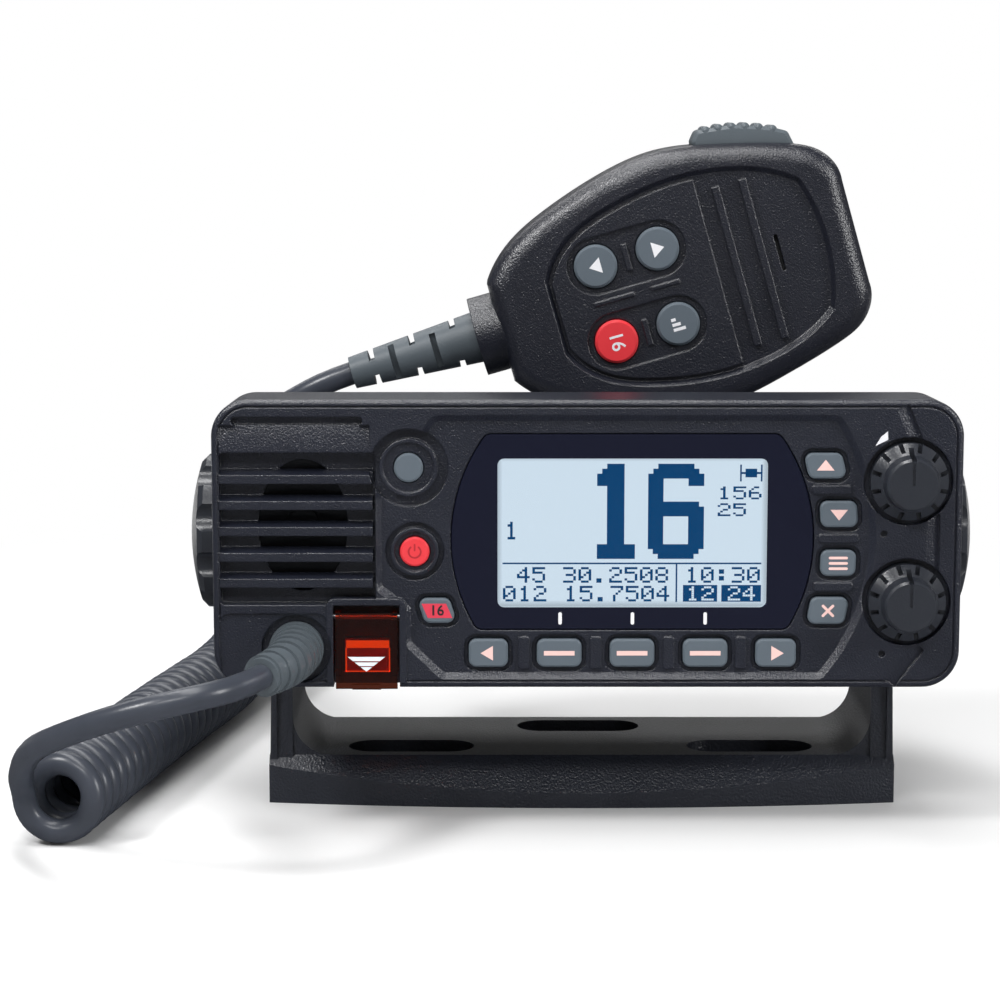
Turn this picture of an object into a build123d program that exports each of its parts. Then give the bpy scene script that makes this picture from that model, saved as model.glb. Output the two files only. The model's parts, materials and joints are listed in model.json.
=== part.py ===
"""A fixed-mount VHF marine radio on its gimbal bracket, with its hand microphone and curly cord.

Millimetres. X points right, Y points back, Z points up. The origin is the middle of the bracket's foot,
on the surface that it stands on. The radio tilts on the bracket about the X axis through the pivot.
"""
from build123d import *
import math
import os

os.makedirs("parts", exist_ok=True)

# ---------------------------------------------------------------- driving dimensions, in mm
# Shared clearances
fit = 0.05                 # two pieces of one body that are assembled tight
slip = 0.2                 # a piece that slides in a hole
seat_gap = 0.15            # pieces of different bodies that lie on each other

# Front bezel
face_width = 180.0
face_height = 70.0
face_corner = 9.0
face_bottom = 37.5
face_y = -59.0
face_edge = 1.2
face_wall = 5.0
bezel_depth = 24.0
bezel_draft = 0.65
bezel_wall = 2.0
cavity_inset = 4.0
rim_width = 1.5
rim_groove = 0.45
panel_depth = 1.5
panel_slope = 45.0
panel_corner = 1.5

# Chassis, gasket and tilt pivot
chassis_width = 143.0
chassis_bottom = face_bottom + 3.5
chassis_top = face_bottom + 0.86 * face_height
chassis_wall = 3.0
chassis_corner = 4.0
chassis_depth = 75.0
flange_thick = 3.0
gasket_thick = 1.5
gasket_width = 1.3
fin_height = 15.0
fin_thick = 2.0
fin_pitch = 6.0
main_board_margin = 8.5
pivot_z = 67.0
boss_radius = 11.0
boss_height = 1.25
washer_thick = 1.0
insert_radius = 4.5
insert_length = 14.0
stud_radius = 2.5
stud_clearance = 0.1

# Bracket
arm_thick = 5.0
arm_gap = 0.2
strip_depth = 45.0
arm_top_radius = 20.0
foot_height = 12.0
foot_wall = 3.0
foot_flare = 1.0
foot_inner_radius = 10.0
deck_front_y = -21.5
front_bulge = 7.9
front_end = 2.1
slope_angle = 46.0
well_length = 32.5
well_width = 13.0
well_floor = 3.0
slot_length = 22.0
slot_width = 6.0
well_x = 43.9
front_well_y = -11.5
rear_well_y = 12.0

# Clamp knobs at the ends of the pivot
clamp_radius = 20.0
clamp_length = 22.0
clamp_hub_radius = 13.0
clamp_hub_length = 4.5
clamp_dome = 60.0
clamp_edge = 1.5
clamp_lobes = 10
lobe_radius = 4.2
stud_reach = 10.0

# Loudspeaker and its louvres; what lies on the face keeps its share of the face's width and height
speaker_x = -0.38 * face_width
speaker_z = face_bottom + 0.5614 * face_height
opening_half_width = 0.06 * face_width
opening_half_height = 0.2286 * face_height
speaker_width = face_width / 6
speaker_height = 0.5143 * face_height
speaker_rim = 2.0
speaker_depth = 10.0
magnet_radius = 9.0
grille_left = 1.8 - face_width / 2
grille_right = -0.2822 * face_width
grille_top = face_bottom + 0.8186 * face_height
louvre_first = face_bottom + 0.74 * face_height
louvre_pitch = 0.09 * face_height
louvre_count = 6
louvre_face = 2.1
louvre_swell = 1.1
lower_field_depth = 0.5
grille_depth = 4.0
slot_band_bottom = face_bottom + 0.9129 * face_height
slot_band_top = face_bottom + 0.9414 * face_height
slot_band_depth = 2.0
brow_bottom = face_bottom + 0.8286 * face_height
brow_right = -0.2889 * face_width
brow_depth = 1.3

# Display
lens_x = 0.06056 * face_width
lens_top = face_bottom + 0.88 * face_height
lens_bottom = face_bottom + 0.2014 * face_height
lens_half_top = 0.195 * face_width
lens_half_middle = 0.2417 * face_width
lens_half_bottom = 0.2078 * face_width
lens_corner = 2.5
lens_thick = 2.0
screen_width = 0.36 * face_width
screen_height = 0.5171 * face_height
screen_z = face_bottom + 0.5371 * face_height
screen_margin = 3.0
screen_corner = 1.6

# Keys
key_travel = 0.8
key_proud = 0.8
key_corner = 1.8
key_edge = 0.45
well_margin = 1.15
well_depth = 1.0
key_flange = 0.7
key_flange_thick = 1.0
key_gap = 0.1
round_key_x = -0.2378 * face_width
round_key_z = face_bottom + 0.765 * face_height
round_key_radius = 3.5
round_well_radius = 9.5
round_collar_radius = 7.0
power_key_x = -0.23 * face_width
power_key_z = face_bottom + 0.4743 * face_height
power_key_radius = 3.55
power_well_radius = 7.1
power_collar_radius = 5.8
collar_wall = 0.9
bottom_key_z = face_bottom + 0.12 * face_height
bottom_key_height = 6.8
rib_width = 2.6
rib_proud = 0.6

# Electronics behind the face
mat_thick = 1.2
pad_width = 4.4
pad_height = 4.0
pad_rise = 0.35
board_thick = 1.6
key_stack = 2.4
board_left = -0.2667 * face_width
board_right = face_width / 2 - 7.0
board_bottom = face_bottom + 6.5
board_top = face_bottom + face_height - 6.5

# Volume and squelch
dial_x = face_width / 2 - 13.1
volume_z = face_bottom + 0.72 * face_height
squelch_z = face_bottom + 0.3014 * face_height
dial_radius = 9.3
dial_cap_radius = 6.1
dial_proud = 8.0
dial_skirt = 3.4
dial_recess_radius = 10.6
dial_recess_depth = 2.5
step_width = 3.2
step_depth = 0.9
dot_hole_radius = 0.8
dot_hole_depth = 1.2
dot_hole_aside = 5.75
dot_hole_below = 12.75
dial_teeth = 12
shaft_radius = 3.0
bushing_radius = 4.2
pot_radius = 7.0

# Distress key and its cover
hatch_x = -0.295 * face_width
hatch_width = 16.0
hatch_top = face_bottom + 0.29 * face_height
hatch_frame = 1.6
hatch_frame_proud = 0.4
hatch_frame_corner = 2.2
hatch_depth = 5.5
hatch_floor = 1.5
cover_side = 0.55
cover_thick = 1.2
cover_overhang = 0.3
cover_top_gap = 1.9
cover_wall_depth = 4.0
cover_pin_drop = 3.1
cover_pin_back = 2.2
cover_pin_radius = 0.6
cover_pin_boss = 1.5
alarm_width = 10.6
alarm_height = 7.9
alarm_z = face_bottom + 7.25
alarm_proud = 2.7
alarm_flange = 2.0
alarm_travel = 1.2

# Radio cord exit
gland_x = -0.3889 * face_width
gland_z = face_bottom + 9.5
gland_recess_radius = 8.4
gland_recess_depth = 2.0
boot_base_radius = 6.7
boot_end_radius = 4.9
boot_ribs = 8
cord_diameter = 6.0
coil_diameter = 22.5

# Rear fittings
antenna_x = chassis_width / 2 - 27.5
antenna_z = chassis_top - 17.7
antenna_radius = 7.94
antenna_length = 14.0
antenna_plate = 25.0
power_gland_x = chassis_width / 2 - 39.5
data_gland_x = chassis_width / 2 - 14.5
rear_gland_z = chassis_bottom + 13.0
rear_gland_radius = 8.0
rear_panel_left = chassis_width / 2 - 53.5
case_screw_radius = 2.0
screw_head_radius = 3.6

# Microphone: its own frame has x along the case, y across it and z towards the front
mic_tilt = 16.0
mic_x = -20.7
mic_split_y = 6.0
mic_z = chassis_top + 21.05
mic_length = 94.9
mic_front = 12.0
mic_back = 16.0
mic_wall = 2.4
mic_crown_width = 5.2
mic_crown_height = 5.0
mic_crown_steps = 4
mic_neck_radius = 10.3
mic_neck_length = 6.3
mic_dish = 1.6
mic_dish_slope = 1.2
mic_plateau_edge = 57.8
mic_field_rim = 2.2
mic_flank = [(0.0, 13.0), (9.7, 22.0), (20.7, 27.0), (36.0, 31.7), (51.0, 33.7), (68.0, 30.9), (84.0, 26.4)]
mic_corner = [(90.0, 23.6), (93.6, 19.6), (mic_length, 13.5)]
mic_dish_flank = [(14.5, 10.0), (24.0, 20.0), (36.0, 24.3), (51.0, 26.6), (64.0, 25.8), (75.0, 22.8), (84.0, 17.5)]
mic_dish_end = 87.3
mic_board_x = 42.0
mic_board_z = 2.0
mic_board_length = 52.0
mic_board_width = 34.0
mic_post_radius = 2.5
mic_post_places = [(20.0, 0.0), (62.0, 12.0), (62.0, -12.0)]
mic_key_radius = 5.55
mic_key_x = (28.1, 44.5)
mic_key_y = 10.0
mic_key_proud = 1.0
mic_key_well = 7.4
mic_bridge_width = 1.4
mic_bridge_half = 3.4
mic_line_runs = [(25.1, 35.7), (40.3, 47.8)]
mic_line_width = 1.0
mic_rib_x = (62.8, 69.9)
mic_rib_half = 21.0
mic_rib_width = 1.9
mic_slot_x = 74.4
ptt_travel = 2.5
ptt_half_depth = 6.5
ptt_ridges = 6
ptt_first_ridge = 64.6
ptt_ridge_pitch = 3.3
ptt_ridge_radius = 1.3
ptt_ridge_rise = 0.5
ptt_high_x = 62.4
ptt_top = 36.4
ptt_fall = 0.0125
ptt_corner = 1.6
ptt_edge = 0.9
ptt_gap = 0.4
mic_boot_length = 34.0
mic_boot_base = 6.7
mic_boot_end = 4.2
hang_stud_x = 30.0
hang_stud_radius = 7.5
hang_stud_neck = 4.0
mic_screw_radius = 1.5

# ---------------------------------------------------------------- places that follow from the above
face_mid_z = face_bottom + face_height / 2
wall_back = face_y + face_wall
bezel_back = face_y + bezel_depth
flange_front = bezel_back - flange_thick
gasket_front = flange_front - gasket_thick
panel_y = face_y + panel_depth
well_y = panel_y + well_depth
key_front = panel_y - key_proud
board_front = wall_back + key_gap + key_flange_thick + key_stack
board_back = board_front + board_thick
lens_back = panel_y + lens_thick
chassis_back = flange_front + chassis_depth
case_screw_x = chassis_width / 2 - 5.5
case_screw_places = [(x, z) for x in (-case_screw_x, case_screw_x) for z in (chassis_bottom + 5.0, chassis_top - 6.2)]
fin_back = chassis_back + fin_height
boss_x = chassis_width / 2 + boss_height
washer_x = boss_x + washer_thick
arm_in = washer_x + arm_gap
arm_out = arm_in + arm_thick
clamp_in = arm_out + seat_gap
clamp_out = clamp_in + clamp_length
dial_floor_y = face_y + dial_recess_depth
hatch_floor_y = face_y + hatch_depth
hatch_left = hatch_x - hatch_width / 2
hatch_right = hatch_x + hatch_width / 2
cover_pin_z = hatch_top - cover_pin_drop
screen_front = wall_back + key_gap
mic_inside = mic_front - mic_wall - mic_dish
mic_place = Plane(
    origin=(mic_x, mic_split_y, mic_z),
    x_dir=(math.cos(math.radians(mic_tilt)), 0, math.sin(math.radians(mic_tilt))),
    z_dir=(0, -1, 0),
).location


# ---------------------------------------------------------------- helpers
def front(y):
    """Sketch plane parallel to the face: sketch x is X and sketch y is Z."""
    return Plane(origin=(0, y, 0), x_dir=(1, 0, 0), z_dir=(0, -1, 0))


def side(x):
    """Sketch plane square to the pivot: sketch x is Y and sketch y is Z."""
    return Plane(origin=(x, 0, 0), x_dir=(0, 1, 0), z_dir=(1, 0, 0))


def upright(outline):
    """The same outline with its normal along +Z, so that outlines add up."""
    return Sketch() + [face if face.normal_at().Z > 0 else -face for face in outline.faces()]


def outline_of(*points):
    """Straight-sided outline through the points."""
    return upright(Polygon(*points, align=None))


def slab(outline, y_front, y_back):
    """One outline in X and Z, solid between two depths."""
    return extrude(front(y_back) * outline, amount=y_back - y_front, dir=(0, -1, 0))


def prism(outline, x_from, x_to):
    """One outline in Y and Z, solid between two places along X."""
    return extrude(side(x_from) * outline, amount=x_to - x_from, dir=(1, 0, 0))


def rise(outline, z_from, z_to):
    """One outline in X and Y, solid between two heights."""
    return extrude(Pos(0, 0, z_from) * outline, amount=z_to - z_from, dir=(0, 0, 1))


def post(x, y, radius, z_from, z_to):
    """Round bar along Z."""
    return rise(Pos(x, y) * Circle(radius), z_from, z_to)


def disc(x, z, radius, y_front, y_back):
    """Round bar along Y."""
    return slab(Pos(x, z) * Circle(radius), y_front, y_back)


def bar(y, z, radius, x_from, x_to):
    """Round bar along X."""
    return prism(Pos(y, z) * Circle(radius), x_from, x_to)


def block(x, y, z):
    """Box between two limits on each axis."""
    size = [limits[1] - limits[0] for limits in (x, y, z)]
    middle = [(limits[1] + limits[0]) / 2 for limits in (x, y, z)]
    return Pos(*middle) * Box(*size)


def both_sides(make):
    """The same piece at the right and at the left end of the pivot."""
    return Compound(children=[make(1), make(-1)])


# ---------------------------------------------------------------- outlines on the face
def spot(across, up):
    """Place on the face, as shares of its width from the middle and of its height from its foot."""
    return face_width * across, face_bottom + face_height * up


def face_outline(grow):
    """Rounded face of the radio, grown or shrunk all round."""
    corner = max(face_corner + grow, 1)
    return Pos(0, face_mid_z) * RectangleRounded(face_width + 2 * grow, face_height + 2 * grow, corner)


def lens_outline(grow):
    """Display lens: level top and bottom, bowed sides."""
    sides = []
    for way in (1, -1):
        top = (lens_x + way * lens_half_top, lens_top)
        middle = (lens_x + way * lens_half_middle, (lens_top + lens_bottom) / 2)
        bottom = (lens_x + way * lens_half_bottom, lens_bottom)
        sides.append(ThreePointArc(top, middle, bottom))
    top = Line(sides[0] @ 0, sides[1] @ 0)
    bottom = Line(sides[0] @ 1, sides[1] @ 1)
    outline = upright(make_face(Curve() + [sides[0], sides[1], top, bottom]))
    outline = fillet(outline.vertices(), lens_corner)
    return offset(outline, amount=grow) if grow else outline


def panel_outline():
    """Sunk panel that holds the lens and the keys, bowed on the right, cut in round the hatch."""
    top_right, bottom_right = spot(0.3306, 0.9257), spot(0.3111, 0.05)
    right = ThreePointArc(top_right, spot(0.3767, 0.4929), bottom_right)
    beside_hatch = hatch_right + hatch_frame + 1.1
    rest = Polyline(
        bottom_right,
        spot(-0.1917, 0.05),
        (beside_hatch, spot(0, 0.16)[1]),
        (beside_hatch, hatch_top - 0.7),
        spot(-0.2744, 0.3543),
        spot(-0.2744, 0.6643),
        spot(-0.2011, 0.9257),
        top_right,
    )
    return fillet(upright(make_face(Curve() + [right, rest])).vertices(), panel_corner)


def leaning(width, height, lean):
    """Key outline whose foot is shifted sideways by lean."""
    half, tall = width / 2 - abs(lean) / 2, height / 2
    corners = [(-half - lean / 2, tall), (half - lean / 2, tall), (half + lean / 2, -tall), (-half + lean / 2, -tall)]
    return fillet(outline_of(*corners).vertices(), key_corner)


keys = {
    "channel_key": (*spot(-0.2006, 0.2686), leaning(9.7, 6.0, 1.9)),
    "left_key": (*spot(-0.1317, 0.12), leaning(9.45, bottom_key_height, 0)),
    "first_soft_key": (*spot(-0.0367, 0.12), leaning(10.8, bottom_key_height, 0)),
    "second_soft_key": (*spot(0.0611, 0.12), leaning(10.8, bottom_key_height, 0)),
    "third_soft_key": (*spot(0.1592, 0.12), leaning(10.8, bottom_key_height, 0)),
    "right_key": (*spot(0.2539, 0.12), leaning(9.8, bottom_key_height, 0)),
    "up_key": (*spot(0.3167, 0.7714), leaning(10.65, 6.1, 1.5)),
    "down_key": (*spot(0.3356, 0.6043), leaning(9.3, 6.3, 0.4)),
    "menu_key": (*spot(0.3356, 0.4343), leaning(8.7, 6.3, -0.2)),
    "clear_key": (*spot(0.3228, 0.2686), leaning(10.4, 6.5, -1.2)),
}
round_keys = {
    "round_key": (round_key_x, round_key_z, round_key_radius),
    "power_key": (power_key_x, power_key_z, power_key_radius),
}


# ---------------------------------------------------------------- bezel
def louvre(index):
    """One bar of the grille: a narrow face that swells towards its root."""
    top = louvre_first - index * louvre_pitch
    tip = face_y + 0.4
    root = face_y + grille_depth + 0.2
    profile = outline_of(
        (tip, top - louvre_face),
        (tip, top),
        (root, top + louvre_swell),
        (root, top - louvre_face - 0.3),
    )
    return prism(profile, grille_left - 0.2, grille_right - 0.6)


def grille(shell):
    """Louvred sound opening at the left of the face."""
    last_top = louvre_first - (louvre_count - 1) * louvre_pitch
    width = grille_right - grille_left
    height = grille_top - last_top
    middle = ((grille_left + grille_right) / 2, (grille_top + last_top) / 2)
    shell -= slab(Pos(*middle) * RectangleRounded(width, height, 1.2), face_y, face_y + grille_depth)
    mouth = Ellipse(opening_half_width, opening_half_height)
    shell -= slab(Pos(speaker_x, speaker_z) * mouth, face_y, wall_back)
    for index in range(louvre_count - 1):
        shell += louvre(index)
    slot_length = grille_right - grille_left - 6
    slot_height = slot_band_top - slot_band_bottom
    slot_middle = ((grille_left + grille_right) / 2, (slot_band_top + slot_band_bottom) / 2)
    slot = Pos(*slot_middle) * SlotOverall(slot_length, slot_height)
    return shell - slab(slot, face_y, face_y + slot_band_depth)


def key_openings(shell):
    """Wells round the keys, the holes that the keys work in, and the ribs between them."""
    for x, z, outline in keys.values():
        shell -= slab(Pos(x, z) * offset(outline, amount=well_margin), panel_y - 1, well_y)
        shell -= slab(Pos(x, z) * offset(outline, amount=slip), panel_y, wall_back)
    for x, z, radius in round_keys.values():
        deep, collar = (
            (round_well_radius, round_collar_radius)
            if radius == round_key_radius
            else (power_well_radius, power_collar_radius)
        )
        shell -= disc(x, z, deep, face_y - 1, well_y)
        shell += disc(x, z, collar, panel_y - 0.6, well_y)
        shell -= disc(x, z, collar - collar_wall, panel_y - 1, panel_y + 0.2)
        shell -= disc(x, z, radius + slip, panel_y - 1, wall_back)
    return shell


def key_ribs():
    """Small raised bars between neighbouring keys."""
    ribs = []
    row = [keys[name] for name in ("left_key", "first_soft_key", "second_soft_key", "third_soft_key", "right_key")]
    for near, far in zip(row, row[1:]):
        ribs.append(((near[0] + far[0]) / 2, bottom_key_z, rib_width, bottom_key_height + 1))
    column = [keys[name] for name in ("up_key", "down_key", "menu_key", "clear_key")]
    for near, far in zip(column, column[1:]):
        ribs.append(((near[0] + far[0]) / 2, (near[1] + far[1]) / 2, bottom_key_height + 2.6, rib_width - 0.6))
    return [slab(Pos(x, z) * RectangleRounded(w, h, 0.6), panel_y - rib_proud, panel_y + 0.5) for x, z, w, h in ribs]


def ramp(start, end, width, depth):
    """Wedge to cut along a line on the face: level at the line, deep at the far side, on the left of its way."""
    run = Vector(end[0] - start[0], 0, end[1] - start[1])
    along = run.normalized()
    frame = Plane(origin=(start[0], face_y, start[1]), x_dir=(-along.Z, 0, along.X), z_dir=(along.X, 0, along.Z))
    profile = outline_of((0, 0), (width, -depth), (width, 1), (0, 1))
    return extrude(frame * profile, amount=run.length, dir=tuple(along))


def face_relief(shell):
    """Sloping brow over the grille, sunk corner round the cord, steps beside the dials and two small holes."""
    shell -= ramp((grille_left, brow_bottom), (brow_right, brow_bottom), slot_band_bottom - brow_bottom, brow_depth)
    low, high = face_bottom + rim_width + rim_groove, louvre_first - (louvre_count - 1) * louvre_pitch - louvre_face
    middle = ((grille_left + hatch_left - hatch_frame) / 2, (low + high) / 2)
    field = Pos(*middle) * RectangleRounded(hatch_left - hatch_frame - grille_left, high - low, hatch_frame_corner)
    shell -= slab(field, face_y - 1, face_y + lower_field_depth)
    for start, end in (
        ((dial_x - 3.2, face_bottom + 0.966 * face_height), (dial_x + 0.4, volume_z + 8.4)),
        ((dial_x + 4.4, volume_z - 7.9), (dial_x + 4.4, squelch_z + 7.4)),
        ((dial_x + 1.9, squelch_z - 9.9), (dial_x - 4.9, low + 0.2)),
    ):
        shell -= ramp(start, end, step_width, step_depth)
    for z in (volume_z, squelch_z):
        shell -= disc(dial_x - dot_hole_aside, z - dot_hole_below, dot_hole_radius, face_y - 1, face_y + dot_hole_depth)
    return shell


def hatch_outline(grow):
    """Recess of the distress key, open at the bottom edge of the face."""
    left, right = hatch_left - grow, hatch_right + grow
    top, low = hatch_top + grow, face_bottom - 1
    return Pos((left + right) / 2, (top + low) / 2) * Rectangle(right - left, top - low)


def front_bezel():
    """Moulded front: rim, sunk panel, louvres, wells, hatch and dial recesses."""
    shell = loft([front(face_y) * face_outline(0), front(bezel_back) * face_outline(-bezel_draft)])
    shell = fillet(shell.faces().sort_by(Axis.Y)[0].edges(), face_edge)
    shell -= slab(face_outline(-cavity_inset), wall_back, bezel_back)
    shell -= slab(face_outline(-bezel_draft - bezel_wall), gasket_front, bezel_back)
    ring = face_outline(-rim_width) - face_outline(-rim_width - rim_groove)
    shell -= slab(ring, face_y, face_y + rim_groove)
    shell -= extrude(front(panel_y) * panel_outline(), amount=panel_depth, taper=-panel_slope)
    frame = slab(hatch_outline(hatch_frame), face_y - hatch_frame_proud, face_y + panel_depth + 1)
    frame = fillet(frame.edges().filter_by(Axis.Y).group_by(Axis.Z)[-1], hatch_frame_corner)
    shell = grille(face_relief(shell))
    shell += frame - block((hatch_left - 9, hatch_right + 9), (face_y - 9, face_y + 9), (0, face_bottom + face_edge))
    for rib in key_ribs():
        shell += rib
    shell = key_openings(shell)
    shell -= slab(lens_outline(slip), panel_y - 1, lens_back)
    window = RectangleRounded(screen_width + 1, screen_height + 1, screen_corner + 0.5)
    shell -= slab(Pos(lens_x, screen_z) * window, lens_back, wall_back)
    hatch_back = slab(hatch_outline(hatch_frame), wall_back - 1, hatch_floor_y + hatch_floor)
    shell += hatch_back & slab(face_outline(-1), face_y, bezel_back)
    shell -= slab(hatch_outline(0), face_y - 1, hatch_floor_y)
    alarm_hole = Rectangle(alarm_width + 2 * slip, alarm_height + 2 * slip)
    shell -= slab(Pos(hatch_x, alarm_z) * alarm_hole, hatch_floor_y - 1, hatch_floor_y + hatch_floor)
    room = Rectangle(alarm_width + alarm_flange + 1, alarm_height + alarm_flange + 1)
    room_back = hatch_floor_y + hatch_floor + alarm_travel + 2
    shell -= slab(Pos(hatch_x, alarm_z) * room, hatch_floor_y + hatch_floor, room_back)
    pin_y = face_y + cover_pin_back
    reach = hatch_frame - 0.6
    shell -= bar(pin_y, cover_pin_z, cover_pin_radius + fit, hatch_left - reach, hatch_right + reach)
    shell -= disc(gland_x, gland_z, gland_recess_radius, face_y - 1, face_y + gland_recess_depth)
    shell -= disc(gland_x, gland_z, boot_base_radius - 1.5, face_y - 1, wall_back)
    for z in (volume_z, squelch_z):
        shell -= disc(dial_x, z, dial_recess_radius, face_y - 1, dial_floor_y)
        shell -= disc(dial_x, z, bushing_radius + slip, face_y, wall_back)
    return shell


# ---------------------------------------------------------------- behind the bezel
def screen_body(margin):
    width = screen_width + 2 * margin
    return Pos(lens_x, screen_z) * Rectangle(width, screen_height + 2 * margin)


def display_window():
    lens = slab(lens_outline(0), panel_y, lens_back)
    return chamfer(lens.faces().sort_by(Axis.Y)[0].edges(), 0.3)


def lcd_module():
    glass = slab(screen_body(screen_margin), screen_front, board_front - fit)
    sunk = slab(screen_body(-0.4), screen_front, screen_front + 0.4)
    return glass - sunk


def board_outline():
    middle = ((board_left + board_right) / 2, (board_bottom + board_top) / 2)
    board = Pos(*middle) * RectangleRounded(board_right - board_left, board_top - board_bottom, 3)
    return board - hatch_outline(hatch_frame + 1)


def keypad_mat():
    """Silicone mat with a raised pad under every key."""
    mat_front = board_front - mat_thick
    mat = slab(board_outline(), mat_front, board_front)
    mat -= slab(screen_body(screen_margin + 0.5), mat_front, board_front)
    for z in (volume_z, squelch_z):
        mat -= disc(dial_x, z, pot_radius + 0.5, mat_front, board_front)
    pad = slab(Rectangle(pad_width, pad_height), mat_front - pad_rise, mat_front)
    for x, z, _ in (*keys.values(), *round_keys.values()):
        mat += Pos(x, 0, z) * pad
    return mat


def control_board():
    return slab(board_outline(), board_front, board_back)


def potentiometers():
    """Two rotary controls on the board, each with a bushing through the face."""
    made = []
    for z in (volume_z, squelch_z):
        body = disc(dial_x, z, pot_radius, wall_back + key_gap, board_front)
        body += disc(dial_x, z, bushing_radius, dial_floor_y, wall_back + key_gap)
        body -= disc(dial_x, z, shaft_radius + stud_clearance, face_y, board_front - 1)
        made.append(body)
    return Compound(children=made)


def speaker_frame():
    outline = Pos(speaker_x, speaker_z) * Ellipse(speaker_width / 2, speaker_height / 2)
    inner = Pos(speaker_x, speaker_z) * Ellipse(speaker_width / 2 - speaker_rim, speaker_height / 2 - speaker_rim)
    basket = slab(outline, wall_back, wall_back + speaker_depth - 4)
    basket -= slab(inner, wall_back, wall_back + speaker_depth - 5)
    basket -= disc(speaker_x, speaker_z, magnet_radius - 3, wall_back, bezel_back)
    return basket


def speaker_cone():
    """Paper cone between the rim and the voice coil, open to the front, with a dust cap."""
    mouth_y, root_y = wall_back + 0.8, wall_back + speaker_depth - 5.6
    horns = []
    for gap, coil_radius, end_y in ((0, magnet_radius - 4, root_y), (1, magnet_radius - 4.7, root_y - 0.7)):
        inset = speaker_rim + slip + gap
        mouth = Pos(speaker_x, speaker_z) * Ellipse(speaker_width / 2 - inset, speaker_height / 2 - inset)
        coil = Pos(speaker_x, speaker_z) * Circle(coil_radius)
        horns.append(loft([front(mouth_y) * mouth, front(end_y) * coil]))
    cap = disc(speaker_x, speaker_z, magnet_radius - 5.5, root_y - 1.6, root_y - 0.4)
    return horns[0] - horns[1] + cap


def speaker_magnet():
    start = wall_back + speaker_depth - 4
    return disc(speaker_x, speaker_z, magnet_radius, start, start + 4)


def front_gasket():
    outer = face_outline(-bezel_draft - bezel_wall - fit)
    inner = face_outline(-bezel_draft - bezel_wall - fit - gasket_width)
    return slab(outer - inner, gasket_front, flange_front)


# ---------------------------------------------------------------- chassis
def chassis_outline(grow):
    width = chassis_width + 2 * grow
    height = chassis_top - chassis_bottom + 2 * grow
    middle = (chassis_top + chassis_bottom) / 2
    return Pos(0, middle) * RectangleRounded(width, height, chassis_corner + grow)


def chassis():
    """Die-cast case: front flange, hollow body, pivot bosses and cooling fins on the back."""
    body = slab(chassis_outline(0), flange_front, chassis_back)
    body += slab(face_outline(-bezel_draft - bezel_wall - slip), flange_front, bezel_back)
    body -= slab(chassis_outline(-chassis_wall), flange_front, chassis_back - chassis_wall)
    for way in (1, -1):
        inner = way * (chassis_width / 2 - insert_length + boss_height)
        body += bar(0, pivot_z, insert_radius + 3, inner, way * chassis_width / 2)
        body += bar(0, pivot_z, boss_radius, way * (chassis_width / 2 - 1), way * boss_x)
        body -= bar(0, pivot_z, insert_radius + fit, inner, way * boss_x)
    fin_count = int((rear_panel_left + chassis_width / 2 - 2 * chassis_corner) / fin_pitch) + 1
    for index in range(fin_count):
        x = -chassis_width / 2 + chassis_corner + index * fin_pitch
        body += block((x, x + fin_thick), (chassis_back - 1, fin_back), (chassis_bottom + 4, chassis_top - 4))
    for x in (chassis_width / 2 - chassis_corner - fin_thick,):
        body += block((x, x + fin_thick), (chassis_back - 1, fin_back), (chassis_bottom + 4, chassis_top - 4))
    for x, z in case_screw_places:
        body += disc(x, z, screw_head_radius + 1, flange_front, chassis_back)
        body -= disc(x, z, case_screw_radius + fit, flange_front, fin_back)
        body -= disc(x, z, screw_head_radius + slip, chassis_back - 2, fin_back)
    body -= disc(antenna_x, antenna_z, antenna_radius - 1, chassis_back - chassis_wall, chassis_back)
    for x in (power_gland_x, data_gland_x):
        body -= disc(x, rear_gland_z, rear_gland_radius - 2, chassis_back - chassis_wall, chassis_back)
    return body


def case_screws():
    """Four long screws from the back of the case into its flange."""
    made = []
    for x, z in case_screw_places:
        screw = disc(x, z, case_screw_radius, flange_front, chassis_back - 2)
        screw += disc(x, z, screw_head_radius, chassis_back - 2, chassis_back + 0.6)
        slot = block((x - 2.4, x + 2.4), (chassis_back, chassis_back + 1), (z - 0.4, z + 0.4))
        made.append(screw - slot)
    return Compound(children=made)


def main_board():
    """Circuit board along the case, on the floor of the chassis."""
    width = chassis_width / 2 - chassis_wall - main_board_margin
    z = chassis_bottom + chassis_wall + 3
    board = block((-width, width), (flange_front + 4, chassis_back - chassis_wall - 1), (z, z + board_thick))
    for x in (-2 * width / 3, 0, 2 * width / 3):
        board += block((x - 4, x + 4), (-10, 10), (z - 3 + fit, z))
    board += block((-width / 2, width / 2), (5, 30), (z + board_thick, z + board_thick + 12))
    return board


def pivot_insert(way):
    """Threaded brass insert in the side boss."""
    inner = way * (boss_x - insert_length)
    sleeve = bar(0, pivot_z, insert_radius, inner, way * boss_x)
    return sleeve - bar(0, pivot_z, stud_radius + stud_clearance, inner, way * boss_x)


def pivot_washer(way):
    """Friction washer between the case and the bracket arm."""
    ring = bar(0, pivot_z, boss_radius, way * boss_x, way * washer_x)
    return ring - bar(0, pivot_z, insert_radius, way * boss_x, way * washer_x)


def antenna_socket():
    """Coaxial antenna socket with a square flange and a threaded barrel."""
    flange = RectangleRounded(antenna_plate, antenna_plate, 2)
    plate = slab(Pos(antenna_x, antenna_z) * flange, chassis_back, chassis_back + 2.5)
    barrel = disc(antenna_x, antenna_z, antenna_radius, chassis_back, chassis_back + antenna_length)
    barrel -= disc(antenna_x, antenna_z, antenna_radius - 2, chassis_back + 4, chassis_back + antenna_length)
    pin = disc(antenna_x, antenna_z, 2, chassis_back, chassis_back + antenna_length - 2)
    stub = disc(antenna_x, antenna_z, antenna_radius - 1 - fit, chassis_back - chassis_wall, chassis_back)
    return plate + barrel + pin + stub


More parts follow.
